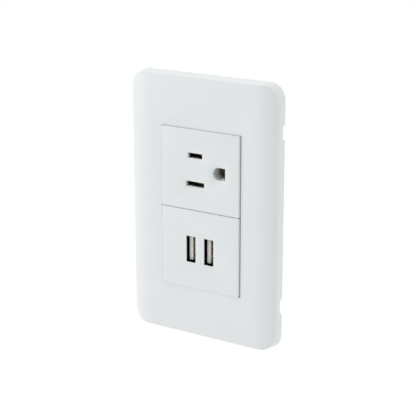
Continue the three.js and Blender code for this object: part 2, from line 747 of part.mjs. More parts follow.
const shellFront = usbWallBack + slideGap;
const portBoardFront = shellBack + slideGap;
const portBoardBack = portBoardFront + boardThickness;
const powerBoardFront = terminalLevels(usbDepth).tip - tipRoom - boardThickness;
const portTongueTip = faceFront + portTongueSetback;
const portTongueHeight = shellInsideHeight - 2 * portTongueEndGap;
const portTongueLeft = -portOpeningWidth / 2 + portTongueBackGap;
const portTongueRight = portTongueLeft + portTongueThickness;
const portBlockBack = shellBack - slideGap;
const pinLeft = portTongueRight + pinSeat;

function portShell(x) {
  const outsideWidth = shellInsideWidth + 2 * shellWall;
  const outsideHeight = shellInsideHeight + 2 * shellWall;
  const outside = bar(outsideWidth, outsideHeight, [shellFront, shellBack], x);
  const inside = [shellFront - overcut, shellBack + overcut];
  return cut(outside, bar(shellInsideWidth, shellInsideHeight, inside, x));
}

// The insulating tongue on the block that closes the shell's back, with channels for the pins.
function portTongue(x) {
  const blockFront = portBlockBack - portBlockLength;
  const tongue = block([x + portTongueLeft, x + portTongueRight],
    [portTongueTip, blockFront + joinOverlap], [-portTongueHeight / 2, portTongueHeight / 2]);
  const back = bar(shellInsideWidth - 2 * slideGap, shellInsideHeight - 2 * slideGap,
    [blockFront, portBlockBack], x);
  const channels = pinPlaces.map((z) =>
    block([x + portTongueRight, x + pinLeft + pinThickness + snugGap],
      [blockFront - overcut, portBlockBack + overcut],
      [z - pinWidth / 2 - snugGap, z + pinWidth / 2 + snugGap]));
  return cut(union(tongue, back), ...channels);
}

function portPin(x, z) {
  return block([x + pinLeft, x + pinLeft + pinThickness], [portTongueTip + pinSetback, shellBack],
    [z - pinWidth / 2, z + pinWidth / 2]);
}

portCentres.forEach((x) => {
  const side = x < 0 ? "left" : "right";
  place(`usb_${side}_port_shell`, portShell(x), nickelSteel, usbModule);
  place(`usb_${side}_port_tongue`, portTongue(x), tongueResin, usbModule);
  pinPlaces.forEach((z, i) => {
    place(`usb_${side}_port_pin_${i + 1}`, portPin(x, z), brass, usbModule);
  });
});

const boardWidth = bodyWidth - 2 * bodyWall - 2 * slideGap;
const boardHeight = bodyHeight - 2 * bodyWall - 2 * slideGap;
const powerBoardBack = powerBoardFront + boardThickness;

// A circuit board with its two right corners cut away round the bosses.
function board(front) {
  const y = [front, front + boardThickness];
  const inner = [bossX - bossRadius - slideGap, bossZ - bossRadius - slideGap];
  const corners = bothSides.map((up) => {
    const z = [up * inner[1], up * bodyHalfHeight].sort((a, b) => a - b);
    return block([inner[0], bodyHalfWidth], [front - overcut, front + boardThickness + overcut], z);
  });
  return cut(bar(boardWidth, boardHeight, y), ...corners);
}
place("usb_port_board", board(portBoardFront), boardLaminate, usbModule);

function powerBoard() {
  const slots = bothSides.map((up) =>
    bar(stripThickness + 2 * slideGap, usbNeckHeight + 2 * slideGap,
      [powerBoardFront - overcut, powerBoardBack + overcut], leftNeckX, up * terminalHeight));
  return cut(board(powerBoardFront), ...slots);
}
place("usb_power_board", powerBoard(), boardLaminate, usbModule);

// A charger terminal: a tab whose neck passes through the floor and the power board.
function usbTerminal(up) {
  const z = up * terminalHeight;
  const neck = bar(stripThickness, usbNeckHeight,
    [powerBoardFront - neckPastBoard, terminalLevels(usbDepth).tabBack], leftNeckX, z);
  return union(neck, terminalTab(usbDepth, leftWellX, z, leftNeckX));
}
place("usb_line_terminal", usbTerminal(1), brass, usbModule);
place("usb_neutral_terminal", usbTerminal(-1), brass, usbModule);

const usbWells = [
  [leftWellX, terminalHeight, [0, 1]],
  [leftWellX, -terminalHeight, [0, -1]],
];

function usbBody() {
  const rim = usbWallBack + slideGap;
  const wells = usbWells.map(([x, z, open]) => wellPieces(usbDepth, x, z, open));
  const envelope = bar(bodyWidth, bodyHeight, [rim, usbDepth + wellDepth + overcut]);
  const walls = wells.map(({ wall }) => wall.intersect(envelope));
  const floor = [usbDepth - bodyWall - overcut, terminalLevels(usbDepth).tabBack + slideGap];
  const neckSlots = bothSides.map((up) =>
    bar(stripThickness + 2 * slideGap, usbNeckHeight + 2 * slideGap, floor, leftNeckX,
      up * terminalHeight));
  const shankHoles = usbWells.map(([x, z]) =>
    rod(terminalShankRadius + 2 * slideGap, floor, x, z, screwSides));
  const vents = [-1, 0, 1].map((step) =>
    bar(ventWidth, ventHeight, [usbDepth - bodyWall - overcut, usbDepth + overcut],
      bossX + ventPitch * (step - 1)));
  const whole = union(bodyShell(rim, usbDepth), ...walls);
  return cut(whole, ...wells.flatMap(({ space, mouth }) => [space, mouth]), ...neckSlots,
    ...shankHoles, ...vents, ...bossHoles(usbDepth));
}
place("usb_body", usbBody(), bodyNylon, usbModule);

placeTerminal("usb_line", usbDepth, leftWellX, terminalHeight, usbModule);
placeTerminal("usb_neutral", usbDepth, leftWellX, -terminalHeight, usbModule);
placeAssemblyScrews("usb", usbDepth, usbModule);

// ---- Parts on the power board -------------------------------------------------------------

// The parts fill the room between the two boards. The middle row holds, from left to right, the
// link header, the rectifier, the transformer, the fuse resistor and the safety capacitor.
const partsBack = powerBoardFront - snugGap;
const partsRoom = partsBack - portBoardBack - partGap;
const headerX = -boardWidth / 2 + partGap + headerWidth / 2;
const bridgeX = headerX + headerWidth / 2 + columnGap + bridgeSize[0] / 2;
const coreLeft = bridgeX + bridgeSize[0] / 2 + columnGap;
const discX = boardWidth / 2 - partGap - discThickness / 2;
const fuseX = discX - discThickness / 2 - columnGap - fuseRadius;
const coreRight = fuseX - fuseRadius - columnGap;
const coreLength = coreRight - coreLeft;
const coreX = (coreLeft + coreRight) / 2;
const coreBack = partsBack - coilWall - slideGap;
const coreFront = partsBack - partsRoom + coilWall + slideGap;

function transformerCore() {
  const windowLength = coreLength - 2 * coreYoke;
  const outside = bar(coreLength, coreHeight, [coreFront, coreBack], coreX);
  const windows = bothSides.map((up) =>
    bar(windowLength, coreWindow, [coreFront - overcut, coreBack + overcut], coreX,
      (up * (coreLeg + coreWindow)) / 2));
  return cut(outside, ...windows);
}

function transformerCoil() {
  const length = coreLength - 2 * coreYoke - 2 * snugGap;
  const height = coreLeg + 2 * coreWindow - 2 * snugGap;
  const outside = bar(length, height, [partsBack - partsRoom, partsBack], coreX);
  const tunnelHeight = coreLeg + 2 * slideGap;
  const tunnelDepth = [coreFront - slideGap, coreBack + slideGap];
  const tunnel = bar(length + 2 * overcut, tunnelHeight, tunnelDepth, coreX);
  return cut(outside, tunnel);
}
place("transformer_core", transformerCore(), ferrite, usbModule);
place("transformer_coil", transformerCoil(), coilTape, usbModule);

// A cylinder lying on the power board along X.
function lyingCan(radius, length, x, z) {
  const can = new THREE.CylinderGeometry(radius, radius, length, roundSides);
  return solid(can.rotateZ(Math.PI / 2).translate(x, partsBack - radius, z));
}

// The rows above and below the transformer lie between the terminal necks and the bosses.
const rowLeft = leftNeckX + stripThickness / 2 + partGap;
const rowRight = bossX - bossRadius - partGap;
const rowHeight = boardHeight / 2 - coreHeight / 2 - partGap;
const rowZ = coreHeight / 2 + partGap + rowHeight / 2;
const canRadius = Math.min(rowHeight, partsRoom) / 2;
const inputCapX = (rowLeft + rowRight) / 2;
place("input_capacitor", lyingCan(canRadius, inputCapLength, inputCapX, rowZ), capacitorSleeve,
  usbModule);

const outputCapLength = (rowRight - rowLeft - partGap) * outputCapShare;
const inductorLength = rowRight - rowLeft - partGap - outputCapLength;
const outputCap = lyingCan(canRadius * outputCapThinness, outputCapLength,
  rowLeft + outputCapLength / 2, -rowZ);
place("output_capacitor", outputCap, capacitorSleeve, usbModule);
const inductor = lyingCan(canRadius * inductorThinness, inductorLength,
  rowRight - inductorLength / 2, -rowZ);
place("filter_inductor", inductor, blackEpoxy, usbModule);

const headerDepth = [portBoardBack + snugGap, partsBack];
const header = bar(headerWidth, headerLength, headerDepth, headerX);
place("board_link_header", header, blackEpoxy, usbModule);
const bridge = bar(...bridgeSize, [partsBack - bridgeHeight, partsBack], bridgeX);
place("bridge_rectifier", bridge, blackEpoxy, usbModule);

const fuse = new THREE.CylinderGeometry(fuseRadius, fuseRadius, fuseLength, screwSides);
fuse.rotateX(Math.PI / 2).translate(fuseX, partsBack - fuseRadius, 0);
place("fuse_resistor", solid(fuse), resistorLacquer, usbModule);

const discFit = Math.min(discRadius, partsRoom / 2);
place("safety_capacitor", lyingCan(discFit, discThickness, discX, 0), discLacquer, usbModule);

const chipFront = powerBoardBack + snugGap;
const chip = bar(...chipSize, [chipFront, chipFront + chipHeight], coreX);
place("controller_chip", chip, blackEpoxy, usbModule);

export default outlet;
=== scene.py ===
# %% [markdown]
# # A white wall outlet with one socket and two USB chargers
# The outlet is a clip-on cover plate, two small modules that sit in its window, and everything
# behind the wall that makes them work. The CAD model fixes each part's size and place. This
# lesson turns it into what the eye sees: rounded mouldings, cut threads, plated metal and a
# quiet studio. Lengths are in metres, because Blender's unit is the metre.

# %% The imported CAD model, as a fixed frame
import json
import math
import bmesh
import bpy
from mathutils import Matrix, Vector


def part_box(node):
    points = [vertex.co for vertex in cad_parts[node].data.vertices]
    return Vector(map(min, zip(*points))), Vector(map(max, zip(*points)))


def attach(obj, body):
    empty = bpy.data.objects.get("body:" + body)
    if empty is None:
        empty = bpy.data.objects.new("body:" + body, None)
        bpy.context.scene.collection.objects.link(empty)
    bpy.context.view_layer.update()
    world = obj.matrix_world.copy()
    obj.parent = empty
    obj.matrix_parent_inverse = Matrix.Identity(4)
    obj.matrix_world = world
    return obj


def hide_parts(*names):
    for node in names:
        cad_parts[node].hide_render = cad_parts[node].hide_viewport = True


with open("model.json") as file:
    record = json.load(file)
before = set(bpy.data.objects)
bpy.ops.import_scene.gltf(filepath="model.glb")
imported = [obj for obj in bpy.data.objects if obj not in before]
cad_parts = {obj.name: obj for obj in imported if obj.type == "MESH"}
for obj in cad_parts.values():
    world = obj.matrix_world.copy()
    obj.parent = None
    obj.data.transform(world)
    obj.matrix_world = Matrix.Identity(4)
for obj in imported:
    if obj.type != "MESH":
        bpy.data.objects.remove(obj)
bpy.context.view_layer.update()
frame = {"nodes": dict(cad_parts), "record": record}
MM = 0.001

# %% [markdown]
# ## The camera
# A catalogue picture of an outlet is taken from a little to the right and above, with a long
# lens so that upright edges stay almost parallel. The camera is placed by its direction and
# distance from a point near the plate's middle, which is how a photographer would walk round it.

# %% Camera
VIEW_AZIMUTH = math.radians(32.45)
VIEW_ELEVATION = math.radians(16.75)
VIEW_DISTANCE = 544.5 * MM
VIEW_TARGET = Vector((-0.33 * MM, 0, -0.24 * MM))
SENSOR_MM, LENS_MM = 36, 107.4
away = Vector((math.sin(VIEW_AZIMUTH) * math.cos(VIEW_ELEVATION),
               -math.cos(VIEW_AZIMUTH) * math.cos(VIEW_ELEVATION),
               math.sin(VIEW_ELEVATION)))
bpy.ops.object.camera_add(location=VIEW_TARGET + away * VIEW_DISTANCE)
camera = bpy.context.object
camera.name = "catalogue_camera"
camera.rotation_euler = away.to_track_quat("Z", "Y").to_euler()
camera.data.sensor_width = SENSOR_MM
camera.data.lens = LENS_MM
bpy.context.scene.camera = camera
print("camera at", [round(c / MM) for c in camera.location], "mm")

# %% [markdown]
# ## Helpers for working in edit mode
# Every operator acts on what is selected, so the first helper clears the selection, and the
# others pick faces, edges or points by where they are or which way they point. That is what a
# hand with a mouse does, written down so that it can be repeated.

# %% Selecting and adding
def deselect_all():
    bpy.ops.object.select_all(action="DESELECT")


def open_for_editing(piece):
    deselect_all()
    bpy.context.view_layer.objects.active = piece
    piece.select_set(True)
    bpy.ops.object.mode_set(mode="EDIT")


def close_editing():
    bpy.ops.object.mode_set(mode="OBJECT")


def pick_faces(piece, test):
    """Selects the faces whose centre and normal pass the test, and nothing else."""
    bpy.ops.mesh.select_mode(type="FACE")
    bpy.ops.mesh.select_all(action="DESELECT")
    mesh = bmesh.from_edit_mesh(piece.data)
    for face in mesh.faces:
        face.select_set(test(face.calc_center_median(), face.normal))
    bmesh.update_edit_mesh(piece.data)


def pick_edges(piece, test):
    """Selects the edges whose middle and direction pass the test, and nothing else."""
    bpy.ops.mesh.select_mode(type="EDGE")
    bpy.ops.mesh.select_all(action="DESELECT")
    mesh = bmesh.from_edit_mesh(piece.data)
    for edge in mesh.edges:
        start, end = (v.co for v in edge.verts)
        edge.select_set(test((start + end) / 2, (end - start).normalized()))
    bmesh.update_edit_mesh(piece.data)


def pick_points(piece, test):
    """Selects the points whose place passes the test, and nothing else."""
    bpy.ops.mesh.select_mode(type="VERT")
    bpy.ops.mesh.select_all(action="DESELECT")
    mesh = bmesh.from_edit_mesh(piece.data)
    for point in mesh.verts:
        point.select_set(test(point.co))
    bmesh.update_edit_mesh(piece.data)


def slice_selected(place, direction):
    """Cuts the selected faces along a plane and keeps both sides."""
    bpy.ops.mesh.bisect(plane_co=place, plane_no=direction)


def slice_all(place, direction):
    bpy.ops.mesh.select_all(action="SELECT")
    slice_selected(place, direction)


def add_block(name, low, high):
    """A box between two corners, with its place in its mesh."""
    deselect_all()
    low, high = Vector(low), Vector(high)
    bpy.ops.mesh.primitive_cube_add(size=1, location=(low + high) / 2, scale=high - low)
    piece = bpy.context.object
    piece.name = piece.data.name = name
    bpy.ops.object.transform_apply(location=True, rotation=True, scale=True)
    return piece


def add_rod(name, radius, start, end, x=0, z=0, sides=48):
    """A cylinder along Y from start to end."""
    deselect_all()
    bpy.ops.mesh.primitive_cylinder_add(vertices=sides, radius=radius, depth=end - start,
                                        location=(x, (start + end) / 2, z),
                                        rotation=(math.pi / 2, 0, 0))
    piece = bpy.context.object
    piece.name = piece.data.name = name
    bpy.ops.object.transform_apply(location=True, rotation=True, scale=True)
    return piece


# %% Modifiers that finish a piece
def apply_modifier(piece, kind, **settings):
    """Adds one modifier with its settings and applies it at once."""
    deselect_all()
    bpy.context.view_layer.objects.active = piece
    piece.select_set(True)
    modifier = piece.modifiers.new(kind.lower(), kind)
    for key, value in settings.items():
        setattr(modifier, key, value)
    bpy.ops.object.modifier_apply(modifier=modifier.name)


def combine(piece, other, operation):
    """Joins another shape to the piece, or cuts it away, and deletes that other shape."""
    apply_modifier(piece, "BOOLEAN", object=other, operation=operation, solver="EXACT")
    bpy.data.objects.remove(other)


MERGE_WITHIN, FLAT_WITHIN = 0.01 * MM, math.radians(0.3)


def round_edges(piece, width, segments=3, angle=35):
    """Rounds every edge sharper than the angle, as a mould or a tumbler does, and smooths.

    Points closer than MERGE_WITHIN and edges in flat faces go first. A bevel that may not
    overlap itself is as narrow everywhere as its tightest edge allows, so one sliver left by a
    boolean would undo all the rounding.
    """
    open_for_editing(piece)
    bpy.ops.mesh.select_all(action="SELECT")
    bpy.ops.mesh.remove_doubles(threshold=MERGE_WITHIN)
    bpy.ops.mesh.dissolve_limited(angle_limit=FLAT_WITHIN)
    close_editing()
    apply_modifier(piece, "BEVEL", width=width, segments=segments, limit_method="ANGLE",
                   angle_limit=math.radians(angle), use_clamp_overlap=True,
                   harden_normals=False)
    smooth(piece, angle)


def smooth(piece, angle=35):
    """Shades smoothly across every edge that turns by less than the angle."""
    deselect_all()
    bpy.context.view_layer.objects.active = piece
    piece.select_set(True)
    bpy.ops.object.shade_smooth_by_angle(angle=math.radians(angle))


def copy_moved(piece, name, offset):
    """A copy with its own mesh, moved inside that mesh."""
    twin = piece.copy()
    twin.data = piece.data.copy()
    twin.name = twin.data.name = name
    bpy.context.scene.collection.objects.link(twin)
    twin.data.transform(Matrix.Translation(offset))
    return twin


CAD_MERGE, CAD_FLAT = 0.002 * MM, math.radians(1)


def merged_copy(node, name):
    """A copy of a CAD node whose loose triangles are merged into whole flat faces."""
    piece = copy_moved(frame["nodes"][node], name, (0, 0, 0))
    piece.parent = None
    for key in list(piece.keys()):
        del piece[key]
    open_for_editing(piece)
    bpy.ops.mesh.select_all(action="SELECT")
    bpy.ops.mesh.remove_doubles(threshold=CAD_MERGE)
    bpy.ops.mesh.dissolve_limited(angle_limit=CAD_FLAT)
    close_editing()
    return piece


def fit_in(piece, body, material, slot, *nodes):
    """Gives a finished piece its material and its body, and hides the CAD nodes it stands for."""
    piece.data.materials.clear()
    piece.data.materials.append(material)
    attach(piece, body)
    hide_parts(*nodes)
    print(piece.name, len(piece.data.polygons), "faces")


# %% [markdown]
# ## Helpers for materials
# Colours are written as hex values, and one function turns
# them to the linear numbers that light works with. Another adds a node with its settings and
# its links, which is all that a procedural material needs.

# %% Colour and node helpers
def linear(hex_colour):
    """An sRGB hex colour as linear red, green, blue and alpha."""
    channels = [int(hex_colour[i:i + 2], 16) / 255 for i in (1, 3, 5)]
    return [c / 12.92 if c <= 0.04045 else ((c + 0.055) / 1.055) ** 2.4
            for c in channels] + [1.0]


def add_node(material, kind, settings=None, values=None, links=None):
    """Adds a node with its settings, its constant inputs and its linked inputs."""
    node = material.node_tree.nodes.new(kind)
    for key, value in (settings or {}).items():
        setattr(node, key, value)
    for socket, value in (values or {}).items():
        node.inputs[socket].default_value = value
    for socket, source in (links or {}).items():
        material.node_tree.links.new(source, node.inputs[socket])
    return node


def start_material(name, colour, roughness, metallic=0.0, ior=1.5):
    """A Principled material and the object's own coordinates, for patterns to build on."""
    material = bpy.data.materials.new(name)
    material.use_nodes = True
    shader = material.node_tree.nodes["Principled BSDF"]
    shader.inputs["Base Color"].default_value = linear(colour)
    shader.inputs["Roughness"].default_value = roughness
    shader.inputs["Metallic"].default_value = metallic
    if not metallic:
        shader.inputs["IOR"].default_value = ior
    place = add_node(material, "ShaderNodeTexCoord").outputs["Object"]
    return material, shader, place


def per_metre(size_mm):
    """The scale of a pattern whose features are this many millimetres apart."""
    return 1 / (size_mm * MM)


def drive(material, shader, **sources):
    """Links pattern outputs to the shader's sockets, Base_Color meaning Base Color."""
    for socket, source in sources.items():
        material.node_tree.links.new(source, shader.inputs[socket.replace("_", " ")])


MIX_A, MIX_B, MIX_OUT = 6, 7, 2  # a Mix node's colour sockets


# %% [markdown]
# ## Polycarbonate, moulded and satin
# The plate and the two module faces are injection-moulded polycarbonate with a cool white
# pigment. The mould is spark-eroded to a very fine grain, about 0.15 mm, so highlights turn soft
# and broad, and thick sections cool a little unevenly, which shows as a barely uneven sheen. A
# plain colour would look like paper. Grain comes from a small bump, and the unevenness from a
# slow noise in colour and roughness.

# %% White polycarbonate
GRAIN_MM = 0.15
FLOW_MM = 18


def moulded_polycarbonate(name, colour, shade, roughness):
    material, shader, place = start_material(name, colour, roughness, ior=1.585)
    flow = add_node(material, "ShaderNodeTexNoise", {},
                    {"Scale": per_metre(FLOW_MM), "Detail": 2}, {"Vector": place})
    tint = add_node(material, "ShaderNodeMix", {"data_type": "RGBA"},
                    {MIX_A: linear(colour), MIX_B: linear(shade)}, {"Factor": flow.outputs["Fac"]})
    sheen = add_node(material, "ShaderNodeMapRange", {},
                     {"To Min": roughness - 0.03, "To Max": roughness + 0.04},
                     {"Value": flow.outputs["Fac"]})
    grain = add_node(material, "ShaderNodeTexNoise", {},
                     {"Scale": per_metre(GRAIN_MM), "Detail": 3}, {"Vector": place})
    bump = add_node(material, "ShaderNodeBump", {}, {"Strength": 0.05, "Distance": 0.02 * MM},
                    {"Height": grain.outputs["Fac"]})
    drive(material, shader, Base_Color=tint.outputs[MIX_OUT], Roughness=sheen.outputs["Result"],
          Normal=bump.outputs["Normal"])
    return material


plate_plastic = moulded_polycarbonate("satin_moulded_polycarbonate", "#dee2e3", "#dce0e1", 0.36)
face_plastic = moulded_polycarbonate("fine_moulded_polycarbonate", "#dee2e3", "#dce0e1", 0.30)
print("materials so far", len(bpy.data.materials))

# %% [markdown]
# ## Nylon for the frame and the bodies
# What stays behind the wall is polyamide: the frame is plain nylon, a little warmer than the
# plate, and the bodies are filled with short glass fibre for stiffness in heat. The fibres come
# to the skin as fine pale streaks, and the mould is only sand-blasted, so both look dry. The
# streaks are a noise stretched along the flow, which ran from front to back.

# %% Nylon
FIBRE_MM = 0.9
FLOW_STRETCH = (1, 0.25, 1)


def moulded_nylon(name, colour, streak, roughness, grain_mm):
    material, shader, place = start_material(name, colour, roughness, ior=1.53)
    flow = add_node(material, "ShaderNodeMapping", {}, {"Scale": FLOW_STRETCH}, {"Vector": place})
    fibres = add_node(material, "ShaderNodeTexNoise", {},
                      {"Scale": per_metre(FIBRE_MM), "Detail": 5, "Roughness": 0.7},
                      {"Vector": flow.outputs["Vector"]})
    tint = add_node(material, "ShaderNodeMix", {"data_type": "RGBA"},
                    {MIX_A: linear(colour), MIX_B: linear(streak)},
                    {"Factor": fibres.outputs["Fac"]})
    grain = add_node(material, "ShaderNodeTexNoise", {},
                     {"Scale": per_metre(grain_mm), "Detail": 3}, {"Vector": place})
    bump = add_node(material, "ShaderNodeBump", {}, {"Strength": 0.25, "Distance": 0.03 * MM},
                    {"Height": grain.outputs["Fac"]})
    drive(material, shader, Base_Color=tint.outputs[MIX_OUT], Normal=bump.outputs["Normal"])
    return material


frame_nylon = moulded_nylon("sandblasted_nylon_6", "#d9dcd8", "#e2e4df", 0.52, 0.3)
body_nylon = moulded_nylon("glass_filled_nylon_66", "#cfd1ce", "#dcddd9", 0.58, 0.25)
print("nylons", frame_nylon.name, body_nylon.name)

# %% [markdown]
# ## Metals
# The contacts are rolled brass strip, brushed along its length by the rolls. The screws and
# clamp plates are steel with a clear zinc plating, which is blue-grey with a faint cloudy
# spangle; the ground screw's plating is dyed green. The port shells are nickel-plated steel
# whose colour is darkened as painted shade, so that the deep port openings read black, and the
# port pins carry a flash of gold. A metal's colour is its reflection, so each gets its own
# base colour, full metallic, and a small noise in roughness that breaks up the mirror.

# %% Metals
def worked_metal(name, colour, shade, roughness, spread, pattern_mm, stretch=(1, 1, 1)):
    material, shader, place = start_material(name, colour, roughness, metallic=1.0)
    along = add_node(material, "ShaderNodeMapping", {}, {"Scale": stretch}, {"Vector": place})
    clouds = add_node(material, "ShaderNodeTexNoise", {},
                      {"Scale": per_metre(pattern_mm), "Detail": 4},
                      {"Vector": along.outputs["Vector"]})
    tint = add_node(material, "ShaderNodeMix", {"data_type": "RGBA"},
                    {MIX_A: linear(colour), MIX_B: linear(shade)},
                    {"Factor": clouds.outputs["Fac"]})
    polish = add_node(material, "ShaderNodeMapRange", {},
                      {"To Min": roughness - spread, "To Max": roughness + spread},
                      {"Value": clouds.outputs["Fac"]})
    bump = add_node(material, "ShaderNodeBump", {}, {"Strength": 0.12, "Distance": 0.01 * MM},
                    {"Height": clouds.outputs["Fac"]})
    drive(material, shader, Base_Color=tint.outputs[MIX_OUT], Roughness=polish.outputs["Result"],
          Normal=bump.outputs["Normal"])
    return material


brass = worked_metal("rolled_brass_strip", "#d9b765", "#c39a46", 0.28, 0.08, 0.25, (1, 0.08, 1))
zinc = worked_metal("clear_zinc_plated_steel", "#c4c8cc", "#aab0b6", 0.32, 0.10, 0.8)
green_zinc = worked_metal("green_dyed_zinc_plating", "#5f9464", "#4a7d52", 0.38, 0.08, 0.8)
# painted shade: the shell steel is darkened to near black so that the deep port openings read as
# shadow
shell_steel_darkened_as_shade = worked_metal("nickel_steel_darkened_as_shade", "#3a3a3d", "#2b2b2e", 0.34, 0.06, 0.5)
pin_gold = worked_metal("gold_flash_over_copper", "#d8b25c", "#c09444", 0.25, 0.05, 0.2)
tin = worked_metal("tinned_copper_lead", "#d3d5d6", "#b9bcbe", 0.3, 0.08, 0.4)
copper = worked_metal("enamelled_copper_wire", "#b8693a", "#9a4f28", 0.3, 0.06, 0.4)
aluminium = worked_metal("drawn_aluminium_can", "#d5d8da", "#c3c7ca", 0.35, 0.06, 0.4)
print("materials with the metals", len(bpy.data.materials))

# %% [markdown]
# ## Sizes that the pieces share
# The boxes of the CAD nodes give almost every size. What a box can't tell, such as where a slot
# lies inside a face, follows the standard socket and the standard USB-A port.

# %% Sizes from the CAD boxes and the two standards
plate_low, plate_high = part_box("cover_plate")
socket_low, socket_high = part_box("socket_face")
usb_low, usb_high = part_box("usb_face")
HALF_WIDTH, HALF_HEIGHT, PLATE_DEPTH = plate_high.x, plate_high.z, -plate_low.y
CORNER_RADIUS = 7 * MM
CROWN_BAND = 10 * MM
CROWN_FALL = 2.2 * MM
PLATE_WALL = 1.8 * MM
FLANGE_DEPTH = 1.2 * MM
SEAM_SIDE, SEAM_END = 0.45 * MM, 0.15 * MM
WINDOW_HALF_WIDTH = socket_high.x + SEAM_SIDE
WINDOW_HALF_HEIGHT = socket_high.z + SEAM_END
CUT_PAST = 1 * MM  # how far a cutter runs past what it cuts
SIDE_DRAFT = 0.65 * MM
NOTCH_HEIGHT, NOTCH_HALF, NOTCH_DEPTH, NOTCH_RUN = 38.5 * MM, 3.6 * MM, 1.4 * MM, 0.98 * MM
SOCKET_MIDDLE = (socket_low.z + socket_high.z) / 2
USB_MIDDLE = (usb_low.z + usb_high.z) / 2
BLADE_LINE, BLADE_SPACING, GROUND_OFFSET = -2.65 * MM, 12.7 * MM, 11.9 * MM
print("window", round(2 * WINDOW_HALF_WIDTH / MM, 2), "x",
      round(2 * WINDOW_HALF_HEIGHT / MM, 2), "mm")

# %% [markdown]
# ## The cover plate
# The plate is one thin moulding: a flat middle, long sides that roll back in a soft crown, walls
# that lean in so that it leaves the mould, and a window with a stiffening flange behind it. It
# could be cut out of a solid with booleans, but a mould makes it as a skin with an even wall,
# so it is modelled that way: first the outer skin, then the thickness.
#
# The skin starts as a box. Its four corner edges are bevelled round, then the edge round the
# front is softened, and the back is opened. Upright slices in the crown's band give it enough
# points to bend. Each upright row of front points is then pushed back by its own amount, and
# the whole front is drawn in a little for the draft.

# %% The plate's outer skin
plate = add_block("cover_plate_moulding", (-HALF_WIDTH, -PLATE_DEPTH, -HALF_HEIGHT),
                  (HALF_WIDTH, 0, HALF_HEIGHT))
EDGE_ROUND = 0.45 * MM
CROWN_STEPS = 9
open_for_editing(plate)
pick_edges(plate, lambda place, along: abs(along.y) > 0.9)
bpy.ops.mesh.bevel(offset=CORNER_RADIUS, segments=12, profile=0.5, affect="EDGES")
pick_faces(plate, lambda place, normal: normal.y < -0.9)
bpy.ops.mesh.bevel(offset=EDGE_ROUND, segments=4, profile=0.5, affect="EDGES")
pick_faces(plate, lambda place, normal: normal.y > 0.9)
bpy.ops.mesh.delete(type="FACE")
turn = HALF_WIDTH - CROWN_BAND
for step in range(CROWN_STEPS):
    for side in (-1, 1):
        slice_all((side * (turn + CROWN_BAND * step / CROWN_STEPS), 0, 0), (1, 0, 0))
print("skin faces", len(bmesh.from_edit_mesh(plate.data).faces))


# %% Bending the crown
def crown_fall(x):
    """How far the front has rolled back at this distance from the middle line."""
    past = max(0, abs(x) - turn)
    return CROWN_FALL * (past / CROWN_BAND) ** 2


NEAR = 0.01 * MM
rim_y = -PLATE_DEPTH + EDGE_ROUND + NEAR
rows = {round(abs(v.co.x) / NEAR) for v in bmesh.from_edit_mesh(plate.data).verts
        if v.co.y < rim_y and abs(v.co.x) > turn + NEAR}
for row in sorted(rows):
    pick_points(plate, lambda p: p.y < rim_y and round(abs(p.x) / NEAR) == row)
    bpy.ops.transform.translate(value=(0, crown_fall(row * NEAR), 0))
pick_points(plate, lambda p: p.y < -PLATE_DEPTH / 2)
bpy.ops.transform.resize(value=(1 - SIDE_DRAFT / HALF_WIDTH, 1, 1 - SIDE_DRAFT / HALF_HEIGHT),
                         center_override=(0, 0, 0))
print("rows bent", len(rows), "crown falls", round(crown_fall(HALF_WIDTH) / MM, 2), "mm")

# %% The window and its flange
for side in (-1, 1):
    slice_all((side * WINDOW_HALF_WIDTH, 0, 0), (1, 0, 0))
    slice_all((0, 0, side * WINDOW_HALF_HEIGHT), (0, 0, 1))
pick_faces(plate, lambda place, normal: normal.y < -0.9 and abs(place.x) < WINDOW_HALF_WIDTH
           and abs(place.z) < WINDOW_HALF_HEIGHT)
bpy.ops.mesh.delete(type="FACE")
pick_edges(plate, lambda place, along: place.y < -PLATE_DEPTH + NEAR
           and abs(place.x) < WINDOW_HALF_WIDTH + NEAR
           and abs(place.z) < WINDOW_HALF_HEIGHT + NEAR)
bpy.ops.mesh.extrude_region_move(
    TRANSFORM_OT_translate={"value": (0, PLATE_WALL + FLANGE_DEPTH, 0)})

# %% The screwdriver notches in the back edge
for up in (-1, 1):
    for way in (-1, 1):
        pick_faces(plate, lambda place, normal: abs(normal.x) > 0.9)
        notch_end = up * NOTCH_HEIGHT + way * (NOTCH_HALF - NOTCH_RUN)
        slice_selected((0, 0, notch_end), (0, 0, 1))
pick_faces(plate, lambda place, normal: abs(normal.x) > 0.9 and abs(place.x) > turn
           and abs(abs(place.z) - NOTCH_HEIGHT) < NOTCH_HALF)
slice_selected((0, -NOTCH_DEPTH, 0), (0, 1, 0))
pick_faces(plate, lambda place, normal: abs(normal.x) > 0.9 and place.y > -NOTCH_DEPTH
           and abs(abs(place.z) - NOTCH_HEIGHT) < NOTCH_HALF - NOTCH_RUN)
bpy.ops.mesh.delete(type="FACE")
for up in (-1, 1):
    for way in (-1, 1):
        corner = up * NOTCH_HEIGHT + way * (NOTCH_HALF - NOTCH_RUN)
        pick_points(plate, lambda p: p.y > -NEAR and abs(p.z - corner) < NEAR
                    and abs(p.x) > HALF_WIDTH - NEAR)
        bpy.ops.transform.translate(value=(0, 0, way * NOTCH_RUN))
close_editing()

# %% [markdown]
# The skin gets its even wall from a Solidify modifier that grows inwards, so the outside keeps
# its size. Its normals are made to agree first, because the wall grows against them. Four short
# tongues behind the sides press into the mounting frame; one is modelled and copied.

